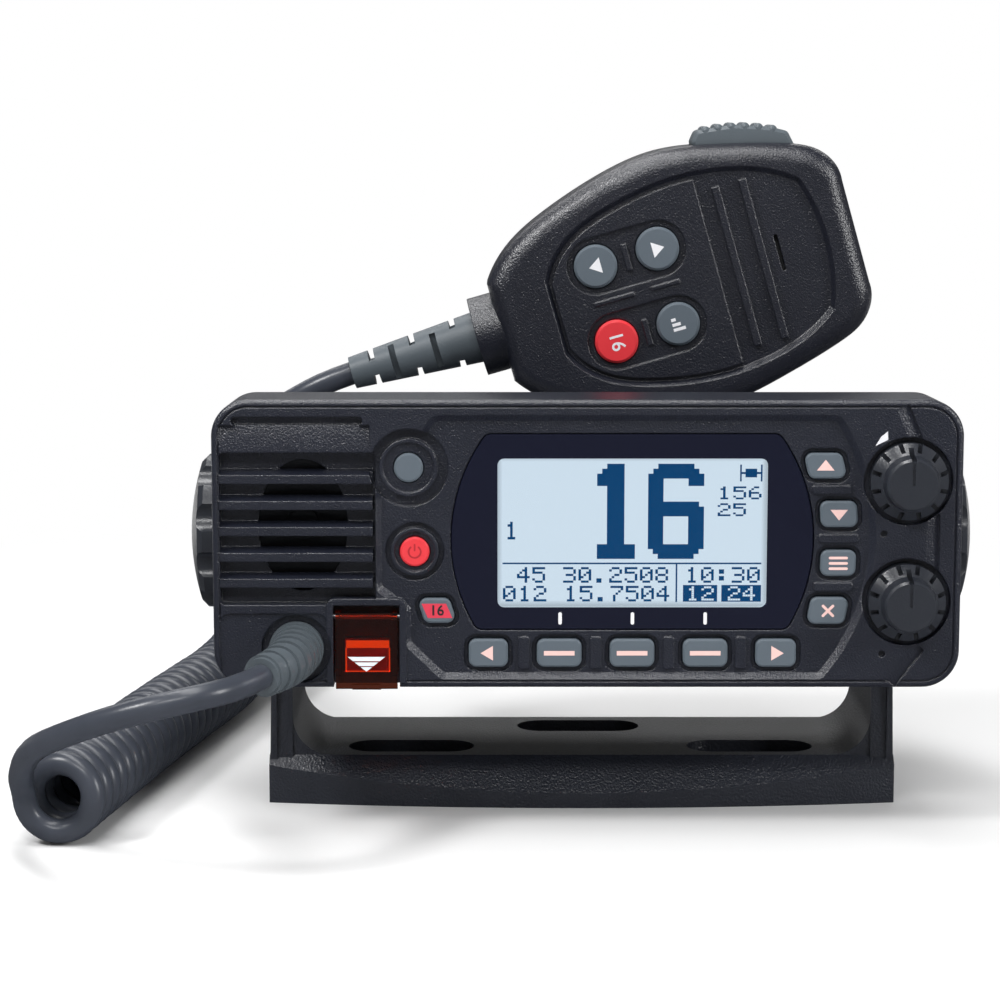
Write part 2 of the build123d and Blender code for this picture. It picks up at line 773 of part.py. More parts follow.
def rear_gland(x):
    """Rubber cable gland, closed where no cable is fitted."""
    collar = disc(x, rear_gland_z, rear_gland_radius, chassis_back, chassis_back + 4)
    throat = disc(x, rear_gland_z, rear_gland_radius - 2 - fit, chassis_back - chassis_wall, chassis_back)
    nose = Solid.make_cone(rear_gland_radius - 1.5, 4.0, 10)
    nose = Pos(x, chassis_back + 4, rear_gland_z) * Rot(-90, 0, 0) * nose
    bore = disc(x, rear_gland_z, 2.6, chassis_back + 6, chassis_back + 15)
    return collar + throat + nose - bore


# ---------------------------------------------------------------- keys and dials
def key_piece(x, z, outline):
    """Key cap with a flange that stops it behind the face wall."""
    cap = slab(outline, key_front, wall_back + key_gap)
    cap = chamfer(cap.faces().sort_by(Axis.Y)[0].edges(), key_edge)
    flange = slab(offset(outline, amount=key_flange), wall_back + key_gap, wall_back + key_gap + key_flange_thick)
    return Pos(x, 0, z) * (cap + flange)


def dial(z):
    """Toothed control knob: skirt, sloping crown with notches, round cap and pointer groove."""
    back = dial_floor_y - 2 * seat_gap
    tip = face_y - dial_proud
    skirt_y = back - dial_skirt
    profile = Polyline(
        (0, back),
        (dial_radius, back),
        (dial_radius, skirt_y),
        (dial_radius - 0.5, skirt_y - 0.5),
        (dial_cap_radius + 0.7, skirt_y - 2.6),
        (dial_cap_radius + 0.15, tip + 0.7),
        (dial_cap_radius - 0.4, tip),
        (0, tip),
        (0, back),
    )
    knob = revolve(Plane.XY * make_face(profile), axis=Axis.Y)
    for index in range(dial_teeth):
        notch = block((-0.55, 0.55), (tip, skirt_y + 0.9), (dial_cap_radius + 1.2, dial_radius + 1))
        knob -= Rot(0, 360 / dial_teeth * (index + 0.5), 0) * notch
    knob -= block((-0.35, 0.35), (tip - 1, tip + 0.35), (0, dial_cap_radius + 1))
    knob -= block((-0.6, 0.6), (tip, skirt_y - 1.0), (dial_cap_radius - 0.6, dial_radius + 1))
    knob = Pos(dial_x, 0, z) * knob
    return knob - disc(dial_x, z, shaft_radius + fit, tip + 2, back)


def dial_shaft(z):
    tip = face_y - dial_proud
    return disc(dial_x, z, shaft_radius, tip + 2, board_front - 1.2)


# ---------------------------------------------------------------- distress hatch
def distress_cover():
    """Clear hinged cover: plate, side walls, hinge bosses and a lip to lift it by."""
    left, right = hatch_left + cover_side, hatch_right - cover_side
    top, low = hatch_top - cover_top_gap, face_bottom - cover_overhang
    outside = face_y + 0.2
    inside = outside + cover_thick
    pin_y = face_y + cover_pin_back
    cover = block((left, right), (outside, inside), (low, top))
    for x in (left, right - cover_thick):
        cover += block((x, x + cover_thick), (outside, outside + cover_wall_depth), (low + 3, cover_pin_z))
        cover += bar(pin_y, cover_pin_z, cover_pin_boss, x, x + cover_thick)
    cover += block((left + 4, right - 4), (outside - 0.8, outside), (low, low + 1.2))
    return cover - bar(pin_y, cover_pin_z, cover_pin_radius + slip / 2, left, right)


def distress_pin():
    """Steel hinge pin of the cover, held in the bezel at both ends."""
    pin_y = face_y + cover_pin_back
    reach = hatch_frame - 0.7
    return bar(pin_y, cover_pin_z, cover_pin_radius, hatch_left - reach, hatch_right + reach)


def distress_button():
    floor_back = hatch_floor_y + hatch_floor
    stem = slab(Rectangle(alarm_width, alarm_height), hatch_floor_y - alarm_proud, floor_back + key_gap)
    stem = chamfer(stem.faces().sort_by(Axis.Y)[0].edges(), 0.5)
    flange = Rectangle(alarm_width + alarm_flange, alarm_height + alarm_flange)
    flange = slab(flange, floor_back + key_gap, floor_back + key_gap + 0.8)
    return Pos(hatch_x, 0, alarm_z) * (stem + flange)


# ---------------------------------------------------------------- bracket and clamp knobs
def foot_plan():
    """Outline of the foot on the table: a bowed front edge and a straight back."""
    end_y = deck_front_y - front_end
    middle_y = deck_front_y - front_bulge
    half = arm_out + foot_flare
    bow = ThreePointArc((-half, end_y), (0, middle_y), (half, end_y))
    rest = Polyline((half, end_y), (half, strip_depth / 2), (-half, strip_depth / 2), (-half, end_y))
    return upright(make_face(Curve() + [bow, rest]))


def arm(way):
    """Upright arm with a round head, thickened slightly towards the foot."""
    waist = strip_depth / 2
    outline = outline_of((-waist, 0), (waist, 0), (arm_top_radius, pivot_z), (-arm_top_radius, pivot_z))
    outline += Pos(0, pivot_z) * Circle(arm_top_radius)
    plate = prism(outline, way * arm_in, way * arm_out)
    flare = outline_of(
        (way * (arm_out - 1), 0),
        (way * (arm_out + foot_flare), 0),
        (way * arm_out, pivot_z - arm_top_radius),
        (way * (arm_out - 1), pivot_z - arm_top_radius),
    )
    plate += slab(flare, -waist, waist)
    return plate - bar(0, pivot_z, stud_radius + 0.3, way * (arm_in - 1), way * (arm_out + 1))


def corner_web(way):
    """Rounded inner corner between the arm and the deck."""
    radius = foot_inner_radius
    corner = (way * arm_in, foot_height)
    square = Pos(corner[0] - way * radius / 2, corner[1] + radius / 2) * Rectangle(radius, radius)
    square -= Pos(corner[0] - way * radius, corner[1] + radius) * Circle(radius)
    return slab(square, -strip_depth / 2 + 1, strip_depth / 2 - 1)


well_places = [(-well_x, front_well_y), (well_x, front_well_y), (0, rear_well_y)]


def mounting_bracket():
    """Moulded U bracket: hollow foot with a sloping front, three slotted wells and two arms."""
    foot = rise(foot_plan(), 0, foot_height)
    drop = math.tan(math.radians(slope_angle))
    slope = outline_of(
        (deck_front_y, foot_height),
        (deck_front_y - 20, foot_height - 20 * drop),
        (deck_front_y - 20, foot_height + 5),
        (deck_front_y, foot_height + 5),
    )
    foot -= prism(slope, -face_width, face_width)
    hollow_half = arm_in - foot_wall
    hollow_depth = (deck_front_y + foot_wall, strip_depth / 2 - foot_wall)
    foot -= block((-hollow_half, hollow_half), hollow_depth, (-1, foot_height - foot_wall))
    for x, y in well_places:
        tower = Pos(x, y) * SlotOverall(well_length + 2 * foot_wall, well_width + 2 * foot_wall)
        keep = block((-hollow_half - 1, hollow_half + 1), (deck_front_y, strip_depth / 2), (-1, foot_height))
        foot += rise(tower, 0, foot_height) & keep
    for x in (-66.0, -22.0, 22.0, 66.0):
        foot += block((x - 1, x + 1), (deck_front_y + 1, strip_depth / 2 - 1), (0, foot_height - 1))
    for x, y in well_places:
        foot -= rise(Pos(x, y) * SlotOverall(well_length, well_width), well_floor, foot_height + 1)
        foot -= rise(Pos(x, y) * SlotOverall(slot_length, slot_width), -1, foot_height)
    for way in (1, -1):
        foot += arm(way)
        foot += corner_web(way)
    return foot


def clamp_knob(way):
    """Lobed clamp knob with a domed end and a narrower hub against the arm."""
    apex = clamp_out
    shoulder = apex - (clamp_dome - math.sqrt(clamp_dome**2 - (clamp_radius - clamp_edge) ** 2))
    hub_end = clamp_in + clamp_hub_length
    dome = ThreePointArc(
        (apex, 0),
        (apex - (clamp_dome - math.sqrt(clamp_dome**2 - 100)), 10),
        (shoulder, clamp_radius - clamp_edge),
    )
    rest = Polyline(
        (shoulder, clamp_radius - clamp_edge),
        (shoulder - clamp_edge, clamp_radius),
        (hub_end + 1, clamp_radius),
        (hub_end, clamp_radius - 1),
        (hub_end, clamp_hub_radius),
        (clamp_in, clamp_hub_radius),
        (clamp_in, 0),
        (apex, 0),
    )
    knob = revolve(make_face(Curve() + [dome, rest]), axis=Axis.X)
    for index in range(clamp_lobes):
        groove = bar(0, clamp_radius + lobe_radius * 0.45, lobe_radius, hub_end - 1, apex + 1)
        knob -= Rot(360 / clamp_lobes * index, 0, 0) * groove
    knob -= bar(0, 0, stud_radius + fit, clamp_in - 1, clamp_in + stud_reach)
    turned = knob if way > 0 else Rot(0, 0, 180) * knob
    return Pos(0, 0, pivot_z) * turned


def clamp_stud(way):
    """Threaded stud of the clamp knob, reaching into the insert of the case."""
    return bar(0, pivot_z, stud_radius, way * (boss_x - insert_length + 3), way * (clamp_in + stud_reach))


# ---------------------------------------------------------------- cord exit of the radio
boot_path = [
    (gland_x, face_y + gland_recess_depth, gland_z),
    (gland_x - 0.3, face_y - 8, gland_z),
    (gland_x - 2.2, face_y - 19, gland_z - 0.4),
    (gland_x - 6.0, face_y - 28, gland_z - 0.9),
]
radio_lead_points = [
    (gland_x - 6.04, face_y - 28.1, gland_z - 0.9),
    (-80.2, -98.6, 45.8),
    (-90.4, -106.3, 45.0),
    (-107.0, -107.0, 41.0),
    (-122.5, -92.5, 30.5),
    (-136.0, -72.0, 15.5),
    (-134.4, -51.6, 9.05),
]


def radio_boot():
    """Ribbed rubber sleeve that turns the cord out of the face."""
    leaving = Vector(*radio_lead_points[1]) - Vector(*radio_lead_points[0])
    spine = Spline(*boot_path, tangents=[(0, -1, 0), leaving.normalized()])
    count = 2 * boot_ribs
    sections = []
    for along in (0.0, 0.5, 1.0):
        radius = boot_base_radius + (boot_end_radius - boot_base_radius) * along
        sections.append(Plane(origin=spine @ along, z_dir=spine % along) * Circle(radius - 0.55))
    sleeve = loft(sections)
    rib_length = 0.6 * spine.length / boot_ribs
    for index in range(boot_ribs):
        middle = (2 * index + 0.9) / count
        radius = boot_base_radius + (boot_end_radius - boot_base_radius) * middle
        sleeve += Plane(origin=spine @ middle, z_dir=spine % middle) * Cylinder(radius, rib_length)
    plug = disc(gland_x, gland_z, boot_base_radius - 1.5 - fit, face_y + gland_recess_depth - 0.5, wall_back)
    return sleeve + plug


# ---------------------------------------------------------------- microphone
def grown(run, grow):
    """A run of points moved outward by grow, each square to the line through its neighbours."""
    moved = []
    for index, (x, y) in enumerate(run):
        before = run[max(index - 1, 0)]
        after = run[min(index + 1, len(run) - 1)]
        along, across = after[0] - before[0], after[1] - before[1]
        reach = math.hypot(along, across)
        moved.append((x - grow * across / reach, y + grow * along / reach))
    return moved


def mic_outline(grow):
    """Pear-shaped case of the microphone, seen from the front."""
    flank = grown(mic_flank + mic_corner, grow)
    first, last = flank[0], flank[-1]
    upper = Spline(*flank)
    lower = Spline(*[(x, -y) for x, y in flank])
    end = Line(last, (last[0], -last[1]))
    start = Line(first, (first[0], -first[1]))
    return upright(make_face(Curve() + [upper, lower, start, end]))


def mic_dish_outline(grow):
    """Sunk field on the front of the microphone."""
    flank = grown(mic_dish_flank, grow)
    first, last = flank[0], flank[-1]
    upper = Spline(*flank)
    lower = Spline(*[(x, -y) for x, y in flank])
    end = ThreePointArc(last, (mic_dish_end + grow, 0), (last[0], -last[1]))
    start = Line(first, (first[0], -first[1]))
    return upright(make_face(Curve() + [upper, lower, start, end]))


def ptt_crown(x):
    """Height of the talk key's crown over the long axis, falling away from its high end."""
    return ptt_top - ptt_fall * (x - ptt_high_x) ** 2


ptt_outline_points = [
    (60.4, 24.5),
    (60.4, 33.5),
    (ptt_high_x, ptt_top - ptt_ridge_rise),
    (72.0, ptt_crown(72.0) - ptt_ridge_rise),
    (81.0, ptt_crown(81.0) - ptt_ridge_rise),
    (84.8, 29.4),
    (85.8, 24.5),
    (80.0, 21.5),
]


def mic_half(height, way):
    """Half of the case, towards the front (1) or the back (-1), with its edge rounded to a quarter ellipse."""
    straight = height - mic_crown_height
    sections = [mic_outline(0)]
    for index in range(mic_crown_steps + 1):
        turn = math.pi / 2 * index / mic_crown_steps
        inset = mic_crown_width * (1 - math.cos(turn))
        sections.append(Pos(0, 0, way * (straight + mic_crown_height * math.sin(turn))) * mic_outline(-inset))
    return loft(sections, ruled=True)


def ptt_room(grow):
    """Room for the talk key in the side of the case, with its travel."""
    low = [(x, y - ptt_travel - grow) for x, y in ptt_outline_points]
    outline = offset(outline_of(*ptt_outline_points), amount=grow)
    outline += offset(outline_of(*low), amount=grow)
    return rise(outline, -ptt_half_depth - grow, ptt_half_depth + grow)


def mic_front_shell():
    """Front half of the microphone: bevelled rim, dish, key field, ribs and sound slot."""
    shell = mic_half(mic_front, 1)
    dish_floor = Pos(0, 0, mic_front - mic_dish) * mic_dish_outline(-mic_dish_slope)
    dish_mouth = Pos(0, 0, mic_front + mic_dish) * mic_dish_outline(mic_dish_slope)
    shell -= loft([dish_floor, dish_mouth])
    before_ribs = Pos(mic_plateau_edge / 2, 0) * Rectangle(mic_plateau_edge, mic_length)
    field = mic_dish_outline(-mic_field_rim) & before_ribs
    shell += rise(field, mic_front - mic_dish - 1, mic_front - 0.4)
    shell -= rise(mic_outline(-mic_wall), 0, mic_inside)
    for x, y in mic_post_places:
        shell += post(x, y, mic_post_radius, mic_board_z + board_thick + fit, mic_inside + 0.5)
    for x in mic_rib_x:
        rib_x = (x - mic_rib_width / 2, x + mic_rib_width / 2)
        shell += block(rib_x, (-mic_rib_half, mic_rib_half), (mic_inside, mic_front - 0.1))
    for y in (mic_key_y, -mic_key_y):
        middle = sum(mic_key_x) / 2
        stadium = Pos(middle, y) * SlotCenterToCenter(mic_key_x[1] - mic_key_x[0], 2 * mic_key_well)
        shell -= rise(stadium, mic_front - 1.4, mic_front + 1)
        bridge_x = (middle - mic_bridge_width / 2, middle + mic_bridge_width / 2)
        shell += block(bridge_x, (y - mic_bridge_half, y + mic_bridge_half), (mic_inside, mic_front - 0.6))
        for x in mic_key_x:
            shell -= post(x, y, mic_key_radius + slip, 0, mic_front)
    for start, end in mic_line_runs:
        shell += block((start, end), (0, mic_line_width), (mic_inside, mic_front))
    shell -= rise(Pos(mic_slot_x, 0.3) * Rot(0, 0, 90) * SlotOverall(9.6, 1.0), 0, mic_front)
    shell += bar_x(mic_neck_radius, -mic_neck_length, mic_wall) & block((-20, 20), (-20, 20), (0, 20))
    shell -= bore_along_mic(mic_boot_base - 1 + fit)
    shell -= ptt_room(ptt_gap)
    return mic_place * shell


def bar_x(radius, x_from, x_to):
    """Round bar along the microphone's own long axis."""
    return bar(0, 0, radius, x_from, x_to)


def bore_along_mic(radius):
    """Hole for the cord boot through the neck of the case."""
    return bar_x(radius, -mic_neck_length, 2 * mic_wall)


def mic_rear_shell():
    """Back half of the microphone, with a rounded back."""
    shell = mic_half(mic_back, -1)
    depth = mic_back - mic_wall
    shell -= rise(mic_outline(-mic_wall), -depth, 0)
    shell += bar_x(mic_neck_radius, -mic_neck_length, mic_wall) & block((-20, 20), (-20, 20), (-20, 0))
    shell -= bore_along_mic(mic_boot_base - 1 + fit)
    for x, y in mic_screw_places:
        shell += post(x, y, 4.2, -mic_back + 1, -0.5)
        shell -= post(x, y, mic_screw_radius + slip, -mic_back, 0)
        shell -= post(x, y, 3 - fit, -mic_back, -mic_back + 2.5)
    shell -= post(hang_stud_x, 0, hang_stud_neck / 2 + fit, -mic_back, -mic_back + mic_wall)
    shell -= ptt_room(ptt_gap)
    return mic_place * shell


mic_screw_places = [(8.0, 12.5), (8.0, -12.5), (84.0, 12.5), (84.0, -12.5)]


def mic_screws():
    """Four screws that close the microphone from the back."""
    made = []
    for x, y in mic_screw_places:
        screw = post(x, y, mic_screw_radius, -mic_back + 2.4, -1)
        made.append(mic_place * (screw + post(x, y, 2.7, -mic_back + 0.6, -mic_back + 2.45)))
    return Compound(children=made)


def mic_board():
    """Circuit board that rests against three posts of the front half."""
    outline = Pos(mic_board_x, 0) * RectangleRounded(mic_board_length, mic_board_width, 2)
    return mic_place * rise(outline, mic_board_z, mic_board_z + board_thick)


def mic_capsule():
    """Electret capsule behind the sound slot."""
    return mic_place * post(mic_slot_x, 0, 4.8, mic_inside - 5, mic_inside)


def mic_key(x, y):
    """Round rubber key of the microphone with a stop flange."""
    top = mic_front - 0.6 + mic_key_proud
    cap = post(0, 0, mic_key_radius, mic_inside - key_gap, top)
    cap = chamfer(cap.faces().sort_by(Axis.Z)[-1].edges(), 0.6)
    flange = post(0, 0, mic_key_radius + key_flange, mic_inside - key_gap - 1, mic_inside - key_gap)
    return mic_place * (Pos(x, y, 0) * (cap + flange))


def mic_ptt():
    """Talk key on the flank, with finger ridges along its crown."""
    outline = fillet(outline_of(*ptt_outline_points).vertices(), ptt_corner)
    for index in range(ptt_ridges):
        x = ptt_first_ridge + index * ptt_ridge_pitch
        outline += Pos(x, ptt_crown(x) - ptt_ridge_radius) * Circle(ptt_ridge_radius)
    key = rise(outline, -ptt_half_depth, ptt_half_depth)
    ends = key.faces().filter_by(Axis.Z).edges()
    return mic_place * chamfer(ends, ptt_edge)


def mic_boot():
    """Slotted rubber sleeve on the cord end of the microphone."""
    length = mic_boot_length
    cone = Rot(0, -90, 0) * Solid.make_cone(mic_boot_base, mic_boot_end, length)
    cone = Pos(-mic_neck_length, 0, 0) * cone
    boot = cone + bar_x(mic_boot_base - 1, -mic_neck_length, mic_wall + 1)
    for index in range(5):
        x = -mic_neck_length - 5.5 - index * 5.6
        for way in (1, -1):
            z = way * 5.2 if index % 2 else 0
            y = 0 if index % 2 else way * 5.2
            cut = Box(1.6, 9 if index % 2 else 4, 4 if index % 2 else 9)
            boot -= Pos(x, y * (1 - 0.06 * index), z * (1 - 0.06 * index)) * cut
    return mic_place * boot


def mic_hang_stud():
    """Hang-up button on the back of the microphone."""
    neck = post(hang_stud_x, 0, hang_stud_neck / 2, -mic_back - 3, -mic_back + mic_wall)
    head = post(hang_stud_x, 0, hang_stud_radius, -mic_back - 5.5, -mic_back - 3)
    head = chamfer(head.faces().sort_by(Axis.Z)[0].edges(), 0.8)
    return mic_place * (neck + head)


# ---------------------------------------------------------------- cord
def along_mic(distance):
    """Point on the long axis of the microphone."""
    return tuple((mic_place * Pos(distance, 0, 0)).position)


coil_points = [
    (-127.0, -52.0, 11.4),
    (-118.0, -8.0, 11.4),
    (-109.5, 38.0, 11.4),
    (-100.0, 84.0, 11.4),
    (-94.0, 124.0, 17.0),
    (-92.5, 132.0, 58.0),
    (-91.0, 96.0, 84.0),
    (-91.0, 74.0, 90.0),
]
mic_lead_points = [
    (-91.0, 74.0, 90.0),
    (-91.0, 55.3, 95.1),
    (-90.5, 34.0, 99.0),
    (-86.0, 15.0, 101.4),
    along_mic(-mic_neck_length - mic_boot_length - 15.9),
    along_mic(-mic_neck_length - mic_boot_length - 0.1),
]


def corner_radii(points):
    """As large an arc at each corner as its two runs allow."""
    radii = []
    for before, here, after in zip(points, points[1:], points[2:]):
        first, second = Vector(*here) - Vector(*before), Vector(*after) - Vector(*here)
        turn = math.radians(first.get_angle(second))
        radii.append(0.45 * min(first.length, second.length) / math.tan(turn / 2))
    return radii


def tube(points, diameter):
    """Round tube along straight runs joined by tangent arcs."""
    path = FilletPolyline(*points, radius=corner_radii(points))
    section = Plane(origin=path @ 0, z_dir=path % 0) * Circle(diameter / 2)
    solid = sweep(section, path=path)
    ideal = math.pi * diameter**2 / 4 * path.length
    print("tube", round(path.length, 1), "mm, radii", [round(r, 1) for r in corner_radii(points)])
    print("  volume over section times length", round(solid.volume / ideal, 4))
    return solid


# ---------------------------------------------------------------- nodes
nodes = {
    "mounting_bracket": mounting_bracket(),
    "front_bezel": front_bezel(),
    "display_window": display_window(),
    "lcd_module": lcd_module(),
    "keypad_mat": keypad_mat(),
    "control_board": control_board(),
    "potentiometers": potentiometers(),
    "speaker_frame": speaker_frame(),
    "speaker_cone": speaker_cone(),
    "speaker_magnet": speaker_magnet(),
    "front_gasket": front_gasket(),
    "chassis": chassis(),
    "case_screws": case_screws(),
    "main_board": main_board(),
    "pivot_inserts": both_sides(pivot_insert),
    "pivot_washers": both_sides(pivot_washer),
    "antenna_socket": antenna_socket(),
    "power_gland": rear_gland(power_gland_x),
    "data_gland": rear_gland(data_gland_x),
    "radio_boot": radio_boot(),
    "distress_hinge_pin": distress_pin(),
    "distress_cover": distress_cover(),
    "distress_button": distress_button(),
    "volume_knob": dial(volume_z),
    "volume_shaft": dial_shaft(volume_z),
    "squelch_knob": dial(squelch_z),
    "squelch_shaft": dial_shaft(squelch_z),
    "right_clamp_knob": clamp_knob(1),
    "right_clamp_stud": clamp_stud(1),
    "left_clamp_knob": clamp_knob(-1),
    "left_clamp_stud": clamp_stud(-1),
    "mic_front_shell": mic_front_shell(),
    "mic_rear_shell": mic_rear_shell(),
    "mic_screws": mic_screws(),
    "mic_board": mic_board(),
    "mic_capsule": mic_capsule(),
    "mic_hang_stud": mic_hang_stud(),
    "mic_boot": mic_boot(),
    "mic_ptt": mic_ptt(),
    "mic_down_key": mic_key(mic_key_x[0], mic_key_y),
    "mic_up_key": mic_key(mic_key_x[1], mic_key_y),
    "mic_channel_key": mic_key(mic_key_x[0], -mic_key_y),
    "mic_power_level_key": mic_key(mic_key_x[1], -mic_key_y),
    "cord_radio_lead": tube(radio_lead_points, cord_diameter),
    "cord_coil": tube(coil_points, coil_diameter),
    "cord_mic_lead": tube(mic_lead_points, cord_diameter),
}
for name, (x, z, outline) in keys.items():
    nodes[name] = key_piece(x, z, outline)
for name, (x, z, radius) in round_keys.items():
    nodes[name] = key_piece(x, z, Circle(radius))

for name, shape in nodes.items():
    export_step(shape, f"parts/{name}.step")
print(len(nodes), "nodes written")
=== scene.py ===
# %% [markdown]
# # A fixed-mount marine radio, piece by piece
#
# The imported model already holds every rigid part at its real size. This lesson gives those parts
# their finish: softened edges, grained plastic, rubber, glass and print. It also makes what a plain
# solid can't show well: the curly cord, the figures on the display and the small printed marks.

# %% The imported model, the unit and the box
import json
import math

import bmesh
import bpy
import numpy as np
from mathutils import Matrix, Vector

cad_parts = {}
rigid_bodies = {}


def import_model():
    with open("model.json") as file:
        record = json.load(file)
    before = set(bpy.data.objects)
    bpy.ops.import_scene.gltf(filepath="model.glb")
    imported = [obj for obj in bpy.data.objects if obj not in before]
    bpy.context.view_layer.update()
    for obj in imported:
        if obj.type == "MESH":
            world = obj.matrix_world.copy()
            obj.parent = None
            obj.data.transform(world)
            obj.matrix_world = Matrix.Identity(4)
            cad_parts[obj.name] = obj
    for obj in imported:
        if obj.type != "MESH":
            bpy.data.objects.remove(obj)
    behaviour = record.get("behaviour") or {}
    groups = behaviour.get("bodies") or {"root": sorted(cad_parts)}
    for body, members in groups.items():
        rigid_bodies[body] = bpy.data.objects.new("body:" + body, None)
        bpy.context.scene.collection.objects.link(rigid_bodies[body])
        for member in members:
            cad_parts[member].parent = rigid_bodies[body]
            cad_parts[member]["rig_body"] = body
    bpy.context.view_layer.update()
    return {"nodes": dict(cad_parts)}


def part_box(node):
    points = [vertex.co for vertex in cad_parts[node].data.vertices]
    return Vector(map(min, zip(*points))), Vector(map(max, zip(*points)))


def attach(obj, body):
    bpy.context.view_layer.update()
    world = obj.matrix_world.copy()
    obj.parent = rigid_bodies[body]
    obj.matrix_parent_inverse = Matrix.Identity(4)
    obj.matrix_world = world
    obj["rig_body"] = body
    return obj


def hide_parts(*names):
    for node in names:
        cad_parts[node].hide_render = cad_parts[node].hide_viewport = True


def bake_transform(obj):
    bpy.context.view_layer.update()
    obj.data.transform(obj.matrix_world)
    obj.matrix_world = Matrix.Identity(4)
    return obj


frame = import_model()
mm = 0.001

# %% [markdown]
# ## The camera
#
# A product picture of a radio is taken with a long lens from a little above the set, so that its
# sides hardly narrow. The lens below is just under 100 mm on a 36 mm sensor, 65 cm from the face,
# and it looks down by 8 degrees.

# %% Camera
camera_place = (-0.0209, -0.709, 0.1767)
looks_down = math.radians(8.17)
camera_data = bpy.data.cameras.new("camera")
camera_data.sensor_width = 36
camera_data.lens = 98.8
camera = bpy.data.objects.new("camera", camera_data)
camera.location = camera_place
camera.rotation_euler = (math.radians(90) - looks_down, 0, 0)
bpy.context.scene.collection.objects.link(camera)
bpy.context.scene.camera = camera
print("camera at", tuple(round(v, 3) for v in camera.location))

# %% [markdown]
# ## Colours and nodes
#
# Colours are written as sRGB hex values, as a paint card gives them, and Blender works in linear light,
# so one function converts them. Two more add a shader node with its settings and links, and make a
# material of one colour from the Principled shader.


# %% Colours
def linear(hex_colour):
    """sRGB to linear: below 0.04045 divided by 12.92, above it ((c + 0.055) / 1.055) to the power 2.4."""
    parts = [int(hex_colour[i : i + 2], 16) / 255 for i in (1, 3, 5)]
    return (*[c / 12.92 if c <= 0.04045 else ((c + 0.055) / 1.055) ** 2.4 for c in parts], 1.0)


print("half of full sRGB is", round(linear("#808080")[0], 3), "of full light")


# %% Nodes and materials
def add(tree, kind, inputs, **settings):
    """A node with its settings; each input takes a value, or a link from another node's output."""
    made = tree.nodes.new(kind)
    for name, value in settings.items():
        setattr(made, name, value)
    for socket, value in inputs.items():
        if isinstance(value, bpy.types.NodeSocket):
            tree.links.new(value, made.inputs[socket])
        else:
            made.inputs[socket].default_value = value
    return made


def finish(name, colour, roughness, **sockets):
    """Material of one colour; further sockets by name, with underscores for spaces."""
    made = bpy.data.materials.new(name)
    made.use_nodes = True
    shader = made.node_tree.nodes["Principled BSDF"]
    shader.inputs["Base Color"].default_value = linear(colour)
    shader.inputs["Roughness"].default_value = roughness
    for socket, value in sockets.items():
        shader.inputs[socket.replace("_", " ")].default_value = value
    made.diffuse_color = linear(colour)
    return made


seal_rubber = finish("black nitrile rubber", "#232427", 0.6, IOR=1.52)
print("first material:", seal_rubber.name)

# %% [markdown]
# ## Grain and drift of tone
#
# No moulded part has one even tone, and none is quite smooth. Both come from noise in the object's own
# metres, which moves with the part and needs no unwrapping: one noise mixes two tones, a finer one
# raises the surface through a bump node.


# %% Noise, tone and grain
def object_noise(tree, size_mm, detail=2.0):
    """Noise whose blotches are about size_mm across, in the object's own metres."""
    place = add(tree, "ShaderNodeTexCoord", {})
    inputs = {"Vector": place.outputs["Object"], "Scale": 1 / (size_mm * mm), "Detail": detail}
    return add(tree, "ShaderNodeTexNoise", inputs)


def tone(made, dark, light, size_mm):
    """Lets the colour drift between two tones in blotches of size_mm."""
    tree = made.node_tree
    noise = object_noise(tree, size_mm, 3.0)
    mix = {0: noise.outputs[0], 6: linear(dark), 7: linear(light)}
    blend = add(tree, "ShaderNodeMix", mix, data_type="RGBA")
    tree.links.new(blend.outputs[2], tree.nodes["Principled BSDF"].inputs["Base Color"])
    return made


def grain(made, size_mm, depth_mm, edge_mm=0.0):
    """Raises the surface in grains of size_mm, depth_mm high; edges are shaded with a radius of edge_mm."""
    tree = made.node_tree
    noise = object_noise(tree, size_mm)
    raised = {"Height": noise.outputs[0], "Distance": depth_mm * mm, "Strength": 1.0}
    bump = add(tree, "ShaderNodeBump", raised)
    if edge_mm:
        edge = add(tree, "ShaderNodeBevel", {"Radius": edge_mm * mm}, samples=8)
        tree.links.new(edge.outputs[0], bump.inputs["Normal"])
    tree.links.new(bump.outputs[0], tree.nodes["Principled BSDF"].inputs["Normal"])
    return made


grain(seal_rubber, 0.6, 0.02)
print("grain on", seal_rubber.name)

# %% [markdown]
# ## Plastics
#
# The housing is ABS from a spark-eroded mould: the mould's pits print a fine even grain, about 0.15 mm
# across, on the plastic. That is finer than a pixel here, so it is drawn at 0.45 mm. The grain breaks
# the highlights up into sparkling specks. Moulded edges are never sharp, so the shader rounds them by
# half a millimetre. The bracket is glass-filled nylon with a coarser grain, drawn at 0.6 mm, and the
# knobs are ABS with a satin skin, whose fine grain only softens the highlights.

# %% Plastics
housing_abs = finish("spark-grained ABS", "#1f222e", 0.29, IOR=1.54, Specular_IOR_Level=0.85)
grain(tone(housing_abs, "#191c28", "#242732", 9), 0.45, 0.2, edge_mm=0.5)
mic_abs = finish("spark-grained ABS of the microphone", "#1b1d28", 0.29, IOR=1.54, Specular_IOR_Level=0.85)
grain(tone(mic_abs, "#161822", "#20222c", 9), 0.45, 0.17, edge_mm=0.5)
bracket_nylon = finish("glass-filled nylon", "#2b2d36", 0.33, IOR=1.53, Specular_IOR_Level=0.8)
grain(tone(bracket_nylon, "#242730", "#30333c", 8), 0.6, 0.25)
knob_abs = finish("satin ABS of the knobs", "#292c33", 0.28, IOR=1.54, Specular_IOR_Level=0.8)
grain(knob_abs, 0.5, 0.05)
print("plastics ready")

